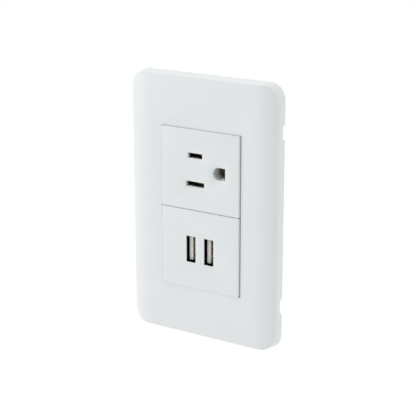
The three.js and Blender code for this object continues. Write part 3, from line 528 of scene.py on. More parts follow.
# %% The wall, the tongues and the fine rounding
open_for_editing(plate)
bpy.ops.mesh.select_all(action="SELECT")
bpy.ops.mesh.normals_make_consistent(inside=False)
close_editing()
front = max(plate.data.polygons, key=lambda face: face.area)
print("the largest face points", [round(n) for n in front.normal])
apply_modifier(plate, "SOLIDIFY", thickness=PLATE_WALL, offset=-1, use_even_offset=True,
               use_rim=True)
TONGUE_X, TONGUE_BACK = HALF_WIDTH - 7.5 * MM, -0.3 * MM
TONGUE_ROOT = -PLATE_DEPTH + 1 * MM
TONGUE_HALF_THICK, TONGUE_HALF_HEIGHT = 0.6 * MM, 3 * MM
TONGUE_TAPER = (0.75, 1, 0.85)
first_tongue = add_block(
    "tongue", (TONGUE_X - TONGUE_HALF_THICK, TONGUE_ROOT, NOTCH_HEIGHT - TONGUE_HALF_HEIGHT),
    (TONGUE_X + TONGUE_HALF_THICK, TONGUE_BACK, NOTCH_HEIGHT + TONGUE_HALF_HEIGHT))
open_for_editing(first_tongue)
pick_points(first_tongue, lambda p: p.y > TONGUE_BACK - NEAR)
bpy.ops.transform.resize(value=TONGUE_TAPER,
                         center_override=(TONGUE_X, TONGUE_BACK, NOTCH_HEIGHT))
close_editing()
tongue_offsets = ((0, 0, -2 * NOTCH_HEIGHT), (-2 * TONGUE_X, 0, 0),
                  (-2 * TONGUE_X, 0, -2 * NOTCH_HEIGHT))
tongues = [copy_moved(first_tongue, "tongue_copy", offset) for offset in tongue_offsets]
for tongue in [first_tongue] + tongues:
    combine(plate, tongue, "UNION")
round_edges(plate, 0.22 * MM, segments=2, angle=40)
fit_in(plate, "cover", plate_plastic, "cover_plastic", "cover_plate")

# %% [markdown]
# ## The two module faces
# Each module shows a shallow cap that stands a little proud of the plate. Its front edges are
# softly rounded, its back is open, and two pillars inside take the assembly screws. Both caps
# start the same way, so one function makes them, and the openings come after. The openings are
# cut with booleans, because that is what the steel cores of a mould do.

# %% A cap with its pillars
FACE_SKIRT = 1.5 * MM
FACE_ROUND = 0.45 * MM
SEAM_TIGHTER = 0.05 * MM
screw_top = (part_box("socket_assembly_screw_top")[0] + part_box("socket_assembly_screw_top")[1]) / 2
SCREW_X, SCREW_FROM_MIDDLE = screw_top.x, screw_top.z - SOCKET_MIDDLE
PILLAR_RADIUS, PILLAR_BORE, PILLAR_BACK = 2.7 * MM, 1.45 * MM, 0.7 * MM
PILLAR_SUNK, BORE_SHORT = 0.5 * MM, 0.2 * MM
CAP_CORNER = 0.6 * MM
ROD_SIDES = 24


def moulded_cap(name, low, high, wall):
    """An open-backed cap over the whole of the node's box, a hair taller so its seams close."""
    low, high = low - Vector((0, 0, SEAM_TIGHTER)), high + Vector((0, 0, SEAM_TIGHTER))
    cap = add_block(name, low, high)
    open_for_editing(cap)
    pick_edges(cap, lambda place, along: abs(along.y) > 0.9)
    bpy.ops.mesh.bevel(offset=CAP_CORNER, segments=5, affect="EDGES")
    pick_faces(cap, lambda place, normal: normal.y < -0.9)
    bpy.ops.mesh.bevel(offset=FACE_ROUND, segments=4, affect="EDGES")
    close_editing()
    room = add_block("room", (low.x + FACE_SKIRT, low.y + wall, low.z + FACE_SKIRT),
                     (high.x - FACE_SKIRT, high.y + CUT_PAST, high.z - FACE_SKIRT))
    combine(cap, room, "DIFFERENCE")
    middle = (low.z + high.z) / 2
    for up in (-1, 1):
        z = middle + up * SCREW_FROM_MIDDLE
        back_of_wall = low.y + wall
        combine(cap, add_rod("pillar", PILLAR_RADIUS, back_of_wall - PILLAR_SUNK, PILLAR_BACK,
                             SCREW_X, z, ROD_SIDES), "UNION")
        combine(cap, add_rod("bore", PILLAR_BORE, back_of_wall + BORE_SHORT,
                             PILLAR_BACK + CUT_PAST, SCREW_X, z, ROD_SIDES), "DIFFERENCE")
    return cap


# %% [markdown]
# ### The socket's openings
# Around each blade slot is a shallow lead-in that guides the plug. Its shape is a box whose
# inner end is squeezed down to the slot, then pushed on through the wall. The ground hole is
# round towards the blades and square on the far side: half a cylinder, with its flat side
# pulled out. It has the same kind of lead-in.

# %% Slot and ground hole cores
SOCKET_WALL = 2.2 * MM
LEAD_DEPTH = 0.5 * MM
LEAD_WIDTH, LEAD_HEIGHT, SLOT_HEIGHT = 13 * MM, 5.3 * MM, 2.3 * MM
HOT_LENGTH, NEUTRAL_LENGTH = 7.3 * MM, 9.2 * MM
GROUND_RADIUS, GROUND_FLAT, GROUND_LEAD = 2.75 * MM, 3.3 * MM, 1.75 * MM
GROUND_X = BLADE_LINE + GROUND_OFFSET
GROUND_SIDES = 64


def slot_core(length, z):
    """The steel core that leaves one blade slot with its lead-in."""
    front_y, back_y = socket_low.y, socket_low.y + LEAD_DEPTH
    core = add_block("core",
                     (BLADE_LINE - LEAD_WIDTH / 2, front_y - CUT_PAST, z - LEAD_HEIGHT / 2),
                     (BLADE_LINE + LEAD_WIDTH / 2, front_y, z + LEAD_HEIGHT / 2))
    open_for_editing(core)
    pick_faces(core, lambda place, normal: normal.y > 0.9)
    bpy.ops.mesh.extrude_region_move(TRANSFORM_OT_translate={"value": (0, LEAD_DEPTH, 0)})
    bpy.ops.transform.resize(value=(length / LEAD_WIDTH, 1, SLOT_HEIGHT / LEAD_HEIGHT),
                             center_override=(BLADE_LINE, back_y, z))
    bpy.ops.mesh.extrude_region_move(
        TRANSFORM_OT_translate={"value": (0, SOCKET_WALL + CUT_PAST, 0)})
    close_editing()
    return core


def ground_core(z):
    """The core of the ground hole: half a cylinder with its flat side pulled out."""
    front_y = socket_low.y + LEAD_DEPTH
    core = add_rod("core", GROUND_RADIUS, front_y, front_y + SOCKET_WALL + 1 * MM, GROUND_X, z,
                   GROUND_SIDES)
    open_for_editing(core)
    bpy.ops.mesh.select_all(action="SELECT")
    bpy.ops.mesh.bisect(plane_co=(GROUND_X, 0, z), plane_no=(1, 0, 0), use_fill=True,
                        clear_outer=True)
    pick_faces(core, lambda place, normal: normal.x > 0.9)
    bpy.ops.mesh.extrude_region_move(TRANSFORM_OT_translate={"value": (GROUND_FLAT, 0, 0)})
    pick_faces(core, lambda place, normal: normal.y < -0.9)
    bpy.ops.mesh.extrude_region_move(TRANSFORM_OT_translate={"value": (0, -LEAD_DEPTH, 0)})
    width = GROUND_RADIUS + GROUND_FLAT
    centre_x = GROUND_X + (GROUND_FLAT - GROUND_RADIUS) / 2
    widening = (1 + 2 * GROUND_LEAD / width, 1, 1 + GROUND_LEAD / GROUND_RADIUS)
    bpy.ops.transform.resize(value=widening, center_override=(centre_x, socket_low.y, z))
    bpy.ops.mesh.extrude_region_move(TRANSFORM_OT_translate={"value": (0, -CUT_PAST, 0)})
    close_editing()
    return core


# %% [markdown]
# Behind the ground hole a collar steers the pin until the contact has hold of it. It follows
# the round side of the hole only. It is a thick ring, turned from a rod and a bore, of which
# the half away from the blades is bisected off, and it ends short of the contact.

# %% The collar of the ground hole
COLLAR_WALL, COLLAR_LENGTH, COLLAR_SUNK = 0.9 * MM, 3.9 * MM, 0.2 * MM
COLLAR_SHARE = 0.6  # of the hole's straight part that the collar still follows


def ground_collar(z):
    """Half a tube behind the round side of the ground hole."""
    front_y = socket_low.y + SOCKET_WALL - COLLAR_SUNK
    collar = add_rod("collar", GROUND_RADIUS + COLLAR_WALL, front_y, front_y + COLLAR_LENGTH,
                     GROUND_X, z, GROUND_SIDES)
    bore = add_rod("bore", GROUND_RADIUS, front_y - CUT_PAST,
                   front_y + COLLAR_LENGTH + 1 * MM, GROUND_X, z, GROUND_SIDES)
    combine(collar, bore, "DIFFERENCE")
    open_for_editing(collar)
    bpy.ops.mesh.select_all(action="SELECT")
    bpy.ops.mesh.bisect(plane_co=(GROUND_X + GROUND_FLAT * COLLAR_SHARE, 0, z), plane_no=(1, 0, 0),
                        use_fill=True, clear_outer=True)
    close_editing()
    return collar


# %% The socket face
socket_cap = moulded_cap("socket_face_moulding", socket_low, socket_high, SOCKET_WALL)
for length, up in ((HOT_LENGTH, 1), (NEUTRAL_LENGTH, -1)):
    combine(socket_cap, slot_core(length, SOCKET_MIDDLE + up * BLADE_SPACING / 2), "DIFFERENCE")
combine(socket_cap, ground_core(SOCKET_MIDDLE), "DIFFERENCE")
round_edges(socket_cap, 0.12 * MM, segments=2, angle=30)
combine(socket_cap, ground_collar(SOCKET_MIDDLE), "UNION")
smooth(socket_cap, 30)
fit_in(socket_cap, "root", face_plastic, "face_plastic", "socket_face")

# %% [markdown]
# ### The charger's face
# The two port openings are plain upright windows with crisp rims. Behind each rim the wall is
# pocketed, so that the metal shell of the port can reach almost to the front, and what shows at
# the rim's inside is the shell, darkened as painted shade for the deep opening, and not a thick
# white wall.

# %% The charger's face
USB_WALL = 1.4 * MM
RIM_WALL = 0.35 * MM
OPENING_WIDTH, OPENING_HEIGHT, PORT_PITCH = 4.75 * MM, 12 * MM, 9.2 * MM
port_shell_low, port_shell_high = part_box("usb_left_port_shell")
SHELL_WIDTH = port_shell_high.x - port_shell_low.x
SHELL_HEIGHT = port_shell_high.z - port_shell_low.z
POCKET_ROOM = 0.25 * MM
usb_cap = moulded_cap("charger_face_moulding", usb_low, usb_high, USB_WALL)
for side in (-1, 1):
    x = side * PORT_PITCH / 2
    pocket = add_block("pocket", (x - SHELL_WIDTH / 2 - POCKET_ROOM, usb_low.y + RIM_WALL,
                                  USB_MIDDLE - SHELL_HEIGHT / 2 - POCKET_ROOM),
                       (x + SHELL_WIDTH / 2 + POCKET_ROOM, usb_low.y + USB_WALL + 1 * MM,
                        USB_MIDDLE + SHELL_HEIGHT / 2 + POCKET_ROOM))
    combine(usb_cap, pocket, "DIFFERENCE")
    opening = add_block("opening", (x - OPENING_WIDTH / 2, usb_low.y - 1 * MM,
                                    USB_MIDDLE - OPENING_HEIGHT / 2),
                        (x + OPENING_WIDTH / 2, usb_low.y + 1 * MM,
                         USB_MIDDLE + OPENING_HEIGHT / 2))
    combine(usb_cap, opening, "DIFFERENCE")
round_edges(usb_cap, 0.08 * MM, segments=2, angle=30)
fit_in(usb_cap, "root", face_plastic, "face_plastic", "usb_face")

# %% [markdown]
# ## Pieces that keep their CAD shape
# The frame, the bodies, the contacts and the small resin parts already have the right shape,
# but a CAD edge is perfectly sharp and catches no light. Each gets a copy whose triangles are
# merged back into flat faces, and every sharp edge of the copy is rounded by as much as its
# making would: a moulding more than a stamping, a stamping more than a pin.

# %% Softened copies
bodies_of_nodes = {node: body for body, nodes in frame["record"]["behaviour"]["bodies"].items()
                   for node in nodes}


def softened(node, name, rounding, segments=2):
    piece = merged_copy(node, name)
    round_edges(piece, rounding, segments=segments)
    return piece


def carry_over(node, finish, material, slot, rounding):
    fit_in(softened(node, f"{node}_{finish}", rounding), bodies_of_nodes[node], material, slot,
           node)


# %% [markdown]
# ### The mounting frame
# The frame is a flat moulding that the two box screws hold to the wall. Its middle carries the
# modules and its slots take the cover's tongues. Four short shallow grooves run across its front
# near the corners, as on real frames, so that the moulding cools flat.

# %% The mounting frame
frame_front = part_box("mounting_frame")[0].y
mounting = merged_copy("mounting_frame", "mounting_frame_moulding")
GROOVE_DEPTH, GROOVE_HALF, GROOVE_REACH = 0.5 * MM, 0.5 * MM, 6 * MM
GROOVE_X, GROOVE_Z = 23 * MM, 44 * MM
for side in (-1, 1):
    for up in (-1, 1):
        x, z = side * GROOVE_X, up * GROOVE_Z
        groove = add_block("groove", (x - GROOVE_REACH, frame_front - CUT_PAST, z - GROOVE_HALF),
                           (x + GROOVE_REACH, frame_front + GROOVE_DEPTH, z + GROOVE_HALF))
        combine(mounting, groove, "DIFFERENCE")
round_edges(mounting, 0.25 * MM, segments=2)
fit_in(mounting, "root", frame_nylon, "frame_nylon", "mounting_frame")

# %% [markdown]
# ### The two bodies
# The bodies are deep boxes with wells for the terminals. Their broad sides are cored out by a
# shallow panel, which saves material and keeps the walls from sinking, and the floor has the
# round marks that the ejector pins leave.

# %% Cored panels and ejector marks
PANEL_DEPTH, PANEL_MARGIN = 0.35 * MM, 3.2 * MM
EJECTOR_RADIUS, EJECTOR_DEPTH = 1.3 * MM, 0.15 * MM
BODY_HALF_WIDTH = 17.8 * MM
PANEL_PAST = 0.5 * MM


def cored_body(node, name, panel_front, panel_back, marks):
    """A body whose four sides have a shallow panel and whose floor has ejector marks."""
    body = merged_copy(node, name)
    low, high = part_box(node)
    for side in (-1, 1):
        wall = side * BODY_HALF_WIDTH
        panel = add_block("panel", (min(wall, wall - side * PANEL_DEPTH), panel_front,
                                    low.z + PANEL_MARGIN),
                          (max(wall, wall - side * PANEL_DEPTH), panel_back,
                           high.z - PANEL_MARGIN))
        open_for_editing(panel)
        pick_faces(panel, lambda place, normal: normal.x * side > 0.9)
        bpy.ops.mesh.extrude_region_move(
            TRANSFORM_OT_translate={"value": (side * PANEL_PAST, 0, 0)})
        close_editing()
        combine(body, panel, "DIFFERENCE")
    for end in (-1, 1):
        wall = high.z if end > 0 else low.z
        panel = add_block("panel", (-BODY_HALF_WIDTH + PANEL_MARGIN, panel_front,
                                    wall - PANEL_DEPTH if end > 0 else wall - PANEL_PAST),
                          (BODY_HALF_WIDTH - PANEL_MARGIN, panel_back,
                           wall + PANEL_PAST if end > 0 else wall + PANEL_DEPTH))
        combine(body, panel, "DIFFERENCE")
    for x, y, z in marks:
        mark = add_rod("mark", EJECTOR_RADIUS, y - EJECTOR_DEPTH, y + PANEL_PAST, x, z,
                       ROD_SIDES)
        combine(body, mark, "DIFFERENCE")
    round_edges(body, 0.28 * MM, segments=2)
    return body


SOCKET_FLOOR, USB_FLOOR = 15 * MM, 25 * MM
PANEL_FRONT, SOCKET_PANEL_BACK, USB_PANEL_BACK = 4.5 * MM, 12 * MM, 21 * MM
MARKS_FROM_MIDDLE_MM = (-11, 11)
socket_body = cored_body("socket_body", "socket_body_moulding", PANEL_FRONT, SOCKET_PANEL_BACK,
                         [(-1 * MM, SOCKET_FLOOR, SOCKET_MIDDLE + z * MM)
                          for z in MARKS_FROM_MIDDLE_MM])
fit_in(socket_body, "root", body_nylon, "body_nylon", "socket_body")
usb_body = cored_body("usb_body", "charger_body_moulding", PANEL_FRONT, USB_PANEL_BACK,
                      [(-1.5 * MM, USB_FLOOR, USB_MIDDLE + z * MM)
                       for z in MARKS_FROM_MIDDLE_MM])
fit_in(usb_body, "root", body_nylon, "body_nylon", "usb_body")

# %% [markdown]
# ## Screws
# A screw is turned and its thread is rolled. The shank starts as a cylinder whose end is
# extruded and widened into the head, whose top edge is rounded to a pan. The slot and the cross
# are cut next, as a forming punch would press them, and the head's edges are rounded. The thread
# comes last: a small four-cornered ridge wound round the shank by a Screw modifier, one pitch a
# turn, and joined to it. Rounding it too would leave slivers where ridge and shank meet. Each
# size is made once, standing on the origin with its head up along Y, and its copies are moved
# into place.

# %% One screw
PITCH = 0.794 * MM
THREAD_DEPTH = 0.34 * MM
THREAD_STEPS = 18
RIDGE_SUNK = 0.12 * MM  # how deep the ridge's root lies in the core
RIDGE_FOOT, RIDGE_CREST = 0.8, 0.12  # of the pitch at the root, and of that at the crest


def wound_thread(radius, start, turns):
    """The helical ridge of a thread, from start along +Y."""
    deselect_all()
    root = radius - THREAD_DEPTH - RIDGE_SUNK
    middle = ((root + radius) / 2, start, 0)
    bpy.ops.mesh.primitive_plane_add(size=1, location=middle)
    ridge = bpy.context.object
    bpy.ops.object.transform_apply(location=True, rotation=True, scale=True)
    open_for_editing(ridge)
    bpy.ops.mesh.select_all(action="SELECT")
    bpy.ops.transform.resize(value=(radius - root, PITCH * RIDGE_FOOT, 1), center_override=middle)
    pick_points(ridge, lambda p: p.x > radius - NEAR)
    bpy.ops.transform.resize(value=(1, RIDGE_CREST, 1), center_override=(radius, start, 0))
    bpy.ops.mesh.select_all(action="SELECT")
    bpy.ops.mesh.delete(type="ONLY_FACE")
    close_editing()
    apply_modifier(ridge, "SCREW", axis="Y", angle=2 * math.pi, screw_offset=PITCH,
                   iterations=turns, steps=THREAD_STEPS, render_steps=THREAD_STEPS,
                   use_normal_calculate=True, use_smooth_shade=False)
    open_for_editing(ridge)
    bpy.ops.mesh.select_all(action="SELECT")
    bpy.ops.mesh.fill_holes(sides=4)
    bpy.ops.mesh.select_all(action="SELECT")
    bpy.ops.mesh.normals_make_consistent(inside=False)
    close_editing()
    return ridge


SHANK_SIDES = 36
TIP_LENGTH, TIP_TAPER = 0.6, 0.55  # of the core's radius
HEAD_ROUND, SLOT_SHARE, WING_FLOOR, WING_SPLIT = 0.62, 0.5, 0.3, 0.5  # of the head's height
WING_REACH, WING_TAPER = 0.55, 0.55  # of the head's radius, and of the wing's own size
SLOT_HALF, WING_HALF = 0.5 * MM, 0.45 * MM


def turned_screw(name, radius, length, head_radius, head_height):
    """A threaded pan-head screw on the Y axis with the underside of its head at y = 0."""
    core = radius - THREAD_DEPTH
    screw = add_rod(name, core, -length + core * TIP_LENGTH, 0, sides=SHANK_SIDES)
    open_for_editing(screw)
    pick_faces(screw, lambda place, normal: normal.y < -0.9)
    bpy.ops.mesh.extrude_region_move(TRANSFORM_OT_translate={"value": (0, -core * TIP_LENGTH, 0)})
    bpy.ops.transform.resize(value=(TIP_TAPER, 1, TIP_TAPER), center_override=(0, -length, 0))
    pick_faces(screw, lambda place, normal: normal.y > 0.9)
    bpy.ops.mesh.extrude_region_move(TRANSFORM_OT_translate={"value": (0, 0, 0)})
    bpy.ops.transform.resize(value=(head_radius / core, 1, head_radius / core),
                             center_override=(0, 0, 0))
    bpy.ops.mesh.extrude_region_move(TRANSFORM_OT_translate={"value": (0, head_height, 0)})
    bpy.ops.mesh.bevel(offset=head_height * HEAD_ROUND, segments=6, profile=0.5,
                       affect="EDGES")
    close_editing()
    slot_depth = head_height * SLOT_SHARE
    slot = add_block("slot", (-head_radius - CUT_PAST, head_height - slot_depth, -SLOT_HALF),
                     (head_radius + CUT_PAST, head_height + CUT_PAST, SLOT_HALF))
    combine(screw, slot, "DIFFERENCE")
    for long_x in (True, False):
        reach = head_radius * WING_REACH
        wide, thin = (reach, WING_HALF) if long_x else (WING_HALF, reach)
        wing = add_block("wing", (-wide, head_height * WING_FLOOR, -thin),
                         (wide, head_height + CUT_PAST, thin))
        open_for_editing(wing)
        pick_points(wing, lambda p: p.y < head_height * WING_SPLIT)
        bpy.ops.transform.resize(value=(WING_TAPER, 1, WING_TAPER), center_override=(0, 0, 0))
        close_editing()
        combine(screw, wing, "DIFFERENCE")
    round_edges(screw, 0.05 * MM, segments=1, angle=50)
    turns = int((length - core * TIP_LENGTH - PITCH) / PITCH)
    combine(screw, wound_thread(radius, -length + core * TIP_LENGTH + PITCH / 2, turns), "UNION")
    smooth(screw, 50)
    return screw


# %% Every screw in its place
def place_screws(nodes, head_radius, head_height, shank_radius, material, slot):
    """Makes one screw for these nodes and copies it to each of them."""
    low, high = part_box(nodes[0])
    pattern = turned_screw("pattern", shank_radius, high.y - low.y - head_height, head_radius,
                           head_height)
    for node in nodes:
        low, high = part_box(node)
        middle = (low + high) / 2
        under_head = high.y - head_height
        screw = copy_moved(pattern, f"{node}_threaded", (middle.x, under_head, middle.z))
        fit_in(screw, bodies_of_nodes[node], material, slot, node)
    bpy.data.objects.remove(pattern)


# a head's radius and height, then the shank's radius
TERMINAL_HEAD, TERMINAL_SHANK = (3.2 * MM, 2.4 * MM), 1.7 * MM
ASSEMBLY_HEAD, ASSEMBLY_SHANK = (2.5 * MM, 1.8 * MM), 1.3 * MM
BOX_HEAD, BOX_SHANK = (3.2 * MM, 1.7 * MM), 1.65 * MM
place_screws([f"{wire}_terminal_screw" for wire in ("hot", "neutral", "usb_line", "usb_neutral")],
             *TERMINAL_HEAD, TERMINAL_SHANK, zinc, "screw_steel")
place_screws(["ground_terminal_screw"], *TERMINAL_HEAD, TERMINAL_SHANK, green_zinc,
             "ground_screw_green")
for module in ("socket", "usb"):
    place_screws([f"{module}_assembly_screw_{end}" for end in ("top", "bottom")], *ASSEMBLY_HEAD,
                 ASSEMBLY_SHANK, zinc, "screw_steel")

# %% The two box screws, head to the front
box_low, box_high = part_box("box_screw_top")
box_pattern = turned_screw("pattern", BOX_SHANK, box_high.y - box_low.y - BOX_HEAD[1],
                           *BOX_HEAD)
open_for_editing(box_pattern)
bpy.ops.mesh.select_all(action="SELECT")
bpy.ops.transform.rotate(value=math.pi, orient_axis="X", center_override=(0, 0, 0))
close_editing()
for end in ("top", "bottom"):
    low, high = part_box(f"box_screw_{end}")
    middle = (low + high) / 2
    screw = copy_moved(box_pattern, f"box_screw_{end}_threaded",
                       (middle.x, low.y + BOX_HEAD[1], middle.z))
    fit_in(screw, bodies_of_nodes[f"box_screw_{end}"], zinc, "screw_steel", f"box_screw_{end}")
bpy.data.objects.remove(box_pattern)

# %% [markdown]
# ## Materials of the charger's inside
# A circuit board is glass cloth in epoxy under a green solder mask, and the cloth's weave shows
# through as a fine grid. Chips and headers are black epoxy, matt from the mould. The
# transformer has a sintered ferrite core, dark and dry, round a coil wrapped in yellow polyester
# tape. The capacitors wear a shrunk plastic sleeve, the disc a glossy blue dip, and the fuse
# resistor a flame-proof lacquer with colour bands.

# %% Boards, plastics and lacquers
WEAVE_MM = 0.45


def wave_scale(period_mm):
    """A wave texture of scale 1 should repeat every pi / 10 units, which gives a period in mm."""
    return per_metre(period_mm) * math.pi / 10


def solder_mask():
    material, shader, place = start_material("green_solder_mask_on_fr4", "#1f5d38", 0.38, ior=1.55)
    warp, weft = (add_node(material, "ShaderNodeTexWave", {"bands_direction": axis},
                           {"Scale": wave_scale(WEAVE_MM), "Distortion": 0.4},
                           {"Vector": place}) for axis in ("X", "Z"))
    cloth = add_node(material, "ShaderNodeMath", {"operation": "MULTIPLY"}, {},
                     {0: warp.outputs["Fac"], 1: weft.outputs["Fac"]})
    tint = add_node(material, "ShaderNodeMix", {"data_type": "RGBA"},
                    {MIX_A: linear("#1f5d38"), MIX_B: linear("#2f7a4c")},
                    {"Factor": cloth.outputs["Value"]})
    bump = add_node(material, "ShaderNodeBump", {}, {"Strength": 0.2, "Distance": 0.02 * MM},
                    {"Height": cloth.outputs["Value"]})
    drive(material, shader, Base_Color=tint.outputs[MIX_OUT], Normal=bump.outputs["Normal"])
    return material


def speckled_solid(name, colour, shade, roughness, grain_mm, strength, ior=1.5):
    """A dense matt or glossy solid with a fine speckle in colour and height."""
    material, shader, place = start_material(name, colour, roughness, ior=ior)
    grain = add_node(material, "ShaderNodeTexNoise", {},
                     {"Scale": per_metre(grain_mm), "Detail": 3}, {"Vector": place})
    tint = add_node(material, "ShaderNodeMix", {"data_type": "RGBA"},
                    {MIX_A: linear(colour), MIX_B: linear(shade)},
                    {"Factor": grain.outputs["Fac"]})
    bump = add_node(material, "ShaderNodeBump", {}, {"Strength": strength, "Distance": 0.03 * MM},
                    {"Height": grain.outputs["Fac"]})
    drive(material, shader, Base_Color=tint.outputs[MIX_OUT], Normal=bump.outputs["Normal"])
    return material


def banded_solid(name, colours, axis, band_mm, roughness, ior=1.5):
    """Even stripes of two colours across one axis, for wound tape and painted rings."""
    material, shader, place = start_material(name, colours[0], roughness, ior=ior)
    stripes = add_node(material, "ShaderNodeTexWave", {"bands_direction": axis},
                       {"Scale": wave_scale(band_mm)}, {"Vector": place})
    tint = add_node(material, "ShaderNodeMix", {"data_type": "RGBA"},
                    {MIX_A: linear(colours[0]), MIX_B: linear(colours[1])},
                    {"Factor": stripes.outputs["Fac"]})
    bump = add_node(material, "ShaderNodeBump", {}, {"Strength": 0.3, "Distance": 0.04 * MM},
                    {"Height": stripes.outputs["Fac"]})
    drive(material, shader, Base_Color=tint.outputs[MIX_OUT], Normal=bump.outputs["Normal"])
    return material


board_mask = solder_mask()
black_epoxy = speckled_solid("moulded_black_epoxy", "#1b1c1e", "#242527", 0.5, 0.15, 0.3)
ferrite = speckled_solid("sintered_ferrite", "#313236", "#45464a", 0.62, 0.2, 0.6, ior=1.9)
coil_tape = banded_solid("yellow_polyester_tape", ("#e2b93a", "#cfa22b"), "Y", 2.2, 0.3, 1.64)
sleeve = speckled_solid("shrunk_pvc_sleeve", "#20242e", "#2b303c", 0.3, 1.2, 0.1, ior=1.53)
disc_lacquer = speckled_solid("dipped_blue_lacquer", "#2763ad", "#3272bd", 0.22, 1.5, 0.15)
resistor_lacquer = banded_solid("banded_resistor_lacquer", ("#8d9a73", "#6e4a35"), "Z", 1.7, 0.4)
port_resin = speckled_solid("white_liquid_crystal_polymer", "#eeeeea", "#e4e4df", 0.4, 0.5, 0.1,
                            ior=1.6)

# %% [markdown]
# ### Contacts, clamps and small resin parts
# The contacts are stamped from brass strip, and stamping leaves a small round on every edge. The
# clamp plates are stamped steel with fine ridges rolled across them, which bite the wire; the
# ridges are a wave in the plating's bump, 0.8 mm apart.

# %% Stampings and small mouldings
clamp_steel = zinc.copy()
clamp_steel.name = "ridged_zinc_plated_steel"
clamp_shader = clamp_steel.node_tree.nodes["Principled BSDF"]
clamp_place = next(n for n in clamp_steel.node_tree.nodes if n.type == "TEX_COORD")
RIDGE_MM = 0.8
ridges = add_node(clamp_steel, "ShaderNodeTexWave", {"bands_direction": "X"},
                  {"Scale": wave_scale(RIDGE_MM)}, {"Vector": clamp_place.outputs["Object"]})
ridge_bump = add_node(clamp_steel, "ShaderNodeBump", {}, {"Strength": 0.7, "Distance": 0.15 * MM},
                      {"Height": ridges.outputs["Fac"]})
drive(clamp_steel, clamp_shader, Normal=ridge_bump.outputs["Normal"])

wires = ("hot", "neutral", "ground", "usb_line", "usb_neutral")
for wire in wires:
    contact = f"{wire}_terminal" if wire.startswith("usb") else f"{wire}_contact"
    carry_over(contact, "stamped", brass, "contact_brass", 0.12 * MM)
    carry_over(f"{wire}_clamp_plate", "stamped", clamp_steel, "screw_steel", 0.2 * MM)
for side in ("left", "right"):
    carry_over(f"usb_{side}_port_tongue", "moulded", port_resin, "port_resin", 0.12 * MM)
    for pin in range(1, 5):
        carry_over(f"usb_{side}_port_pin_{pin}", "plated", pin_gold, "contact_brass", 0.05 * MM)

# %% [markdown]
# ### The port shells
# A port shell is folded from thin strip, so its corners are round and its wall is even. It is
# modelled as a folder would think of it: an open tube with rounded corners, given its
# thickness by Solidify. Three spring fingers a side are pressed inwards out of the wall; each is
# a small strip, bent by pushing its middle in, over a window cut in the wall.

# %% The port shells
SHELL_WALL = 0.3 * MM
SHELL_FRONT = usb_low.y + RIM_WALL + 0.1 * MM
FINGER_WIDTH, FINGER_LENGTH, FINGER_PUSH = 1.3 * MM, 3.4 * MM, 0.4 * MM
FINGER_PLACES, FINGER_START = (-3.4 * MM, 0, 3.4 * MM), -1.5 * MM
FINGER_ROOM, FINGER_HOLD, FINGER_FREE = 0.15 * MM, 0.1 * MM, 0.3 * MM
FINGER_CUTS = (0.35, 0.55, 0.75, 0.9)  # of its length, from the front
PUSHED_FROM, PUSHED_TO = 0.5, 0.8  # the part of its length that is pushed in
WINDOW_REACH = 0.8 * MM


def port_shell(side):
    node = "usb_left_port_shell" if side < 0 else "usb_right_port_shell"
    low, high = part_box(node)
    shell = add_block(f"{node}_folded", (low.x, SHELL_FRONT, low.z), high)
    open_for_editing(shell)
    pick_faces(shell, lambda place, normal: abs(normal.y) > 0.9)
    bpy.ops.mesh.delete(type="FACE")
    pick_edges(shell, lambda place, along: abs(along.y) > 0.9)
    bpy.ops.mesh.bevel(offset=0.6 * MM, segments=4, affect="EDGES")
    close_editing()
    apply_modifier(shell, "SOLIDIFY", thickness=SHELL_WALL, offset=-1, use_even_offset=True)
    middle = (low + high) / 2
    for wall_side in (-1, 1):
        wall = high.x if wall_side > 0 else low.x
        for z in FINGER_PLACES:
            start, end = FINGER_START, FINGER_START + FINGER_LENGTH
            window = add_block("window",
                               (wall - WINDOW_REACH, start, middle.z + z - FINGER_WIDTH / 2),
                               (wall + WINDOW_REACH, end, middle.z + z + FINGER_WIDTH / 2))
            combine(shell, window, "DIFFERENCE")
            inner = wall - wall_side * SHELL_WALL
            finger = add_block("finger",
                               (min(wall, inner), start - FINGER_HOLD,
                                middle.z + z - FINGER_WIDTH / 2 + FINGER_ROOM),
                               (max(wall, inner), end - FINGER_FREE,
                                middle.z + z + FINGER_WIDTH / 2 - FINGER_ROOM))
            open_for_editing(finger)
            for part in FINGER_CUTS:
                slice_all((0, start + FINGER_LENGTH * part, 0), (0, 1, 0))
            pick_points(finger, lambda p: start + FINGER_LENGTH * PUSHED_FROM < p.y
                        < start + FINGER_LENGTH * PUSHED_TO)
            bpy.ops.transform.translate(value=(-wall_side * FINGER_PUSH, 0, 0))
            close_editing()
            combine(shell, finger, "UNION")
    round_edges(shell, 0.05 * MM, segments=1, angle=40)
    # the shell's dark colour is painted shade for the deep port openings
    fit_in(shell, "root", shell_steel_darkened_as_shade, "port_shell_steel", node)


for side in (-1, 1):
    port_shell(side)

# %% [markdown]
# ## The charger's insides
# Two boards lie across the body, joined by a header. The power board carries the transformer
# and its helpers. Nothing here shows until the body is opened, but the parts are made as the
# real ones are, because a part library is looked at from inside as well.

# %% The boards, the core and the coil
carry_over("usb_port_board", "routed", board_mask, "board_laminate", 0.08 * MM)
carry_over("usb_power_board", "routed", board_mask, "board_laminate", 0.08 * MM)
carry_over("transformer_core", "sintered", ferrite, "ferrite", 0.25 * MM)
carry_over("transformer_coil", "taped", coil_tape, "coil_tape", 0.6 * MM)
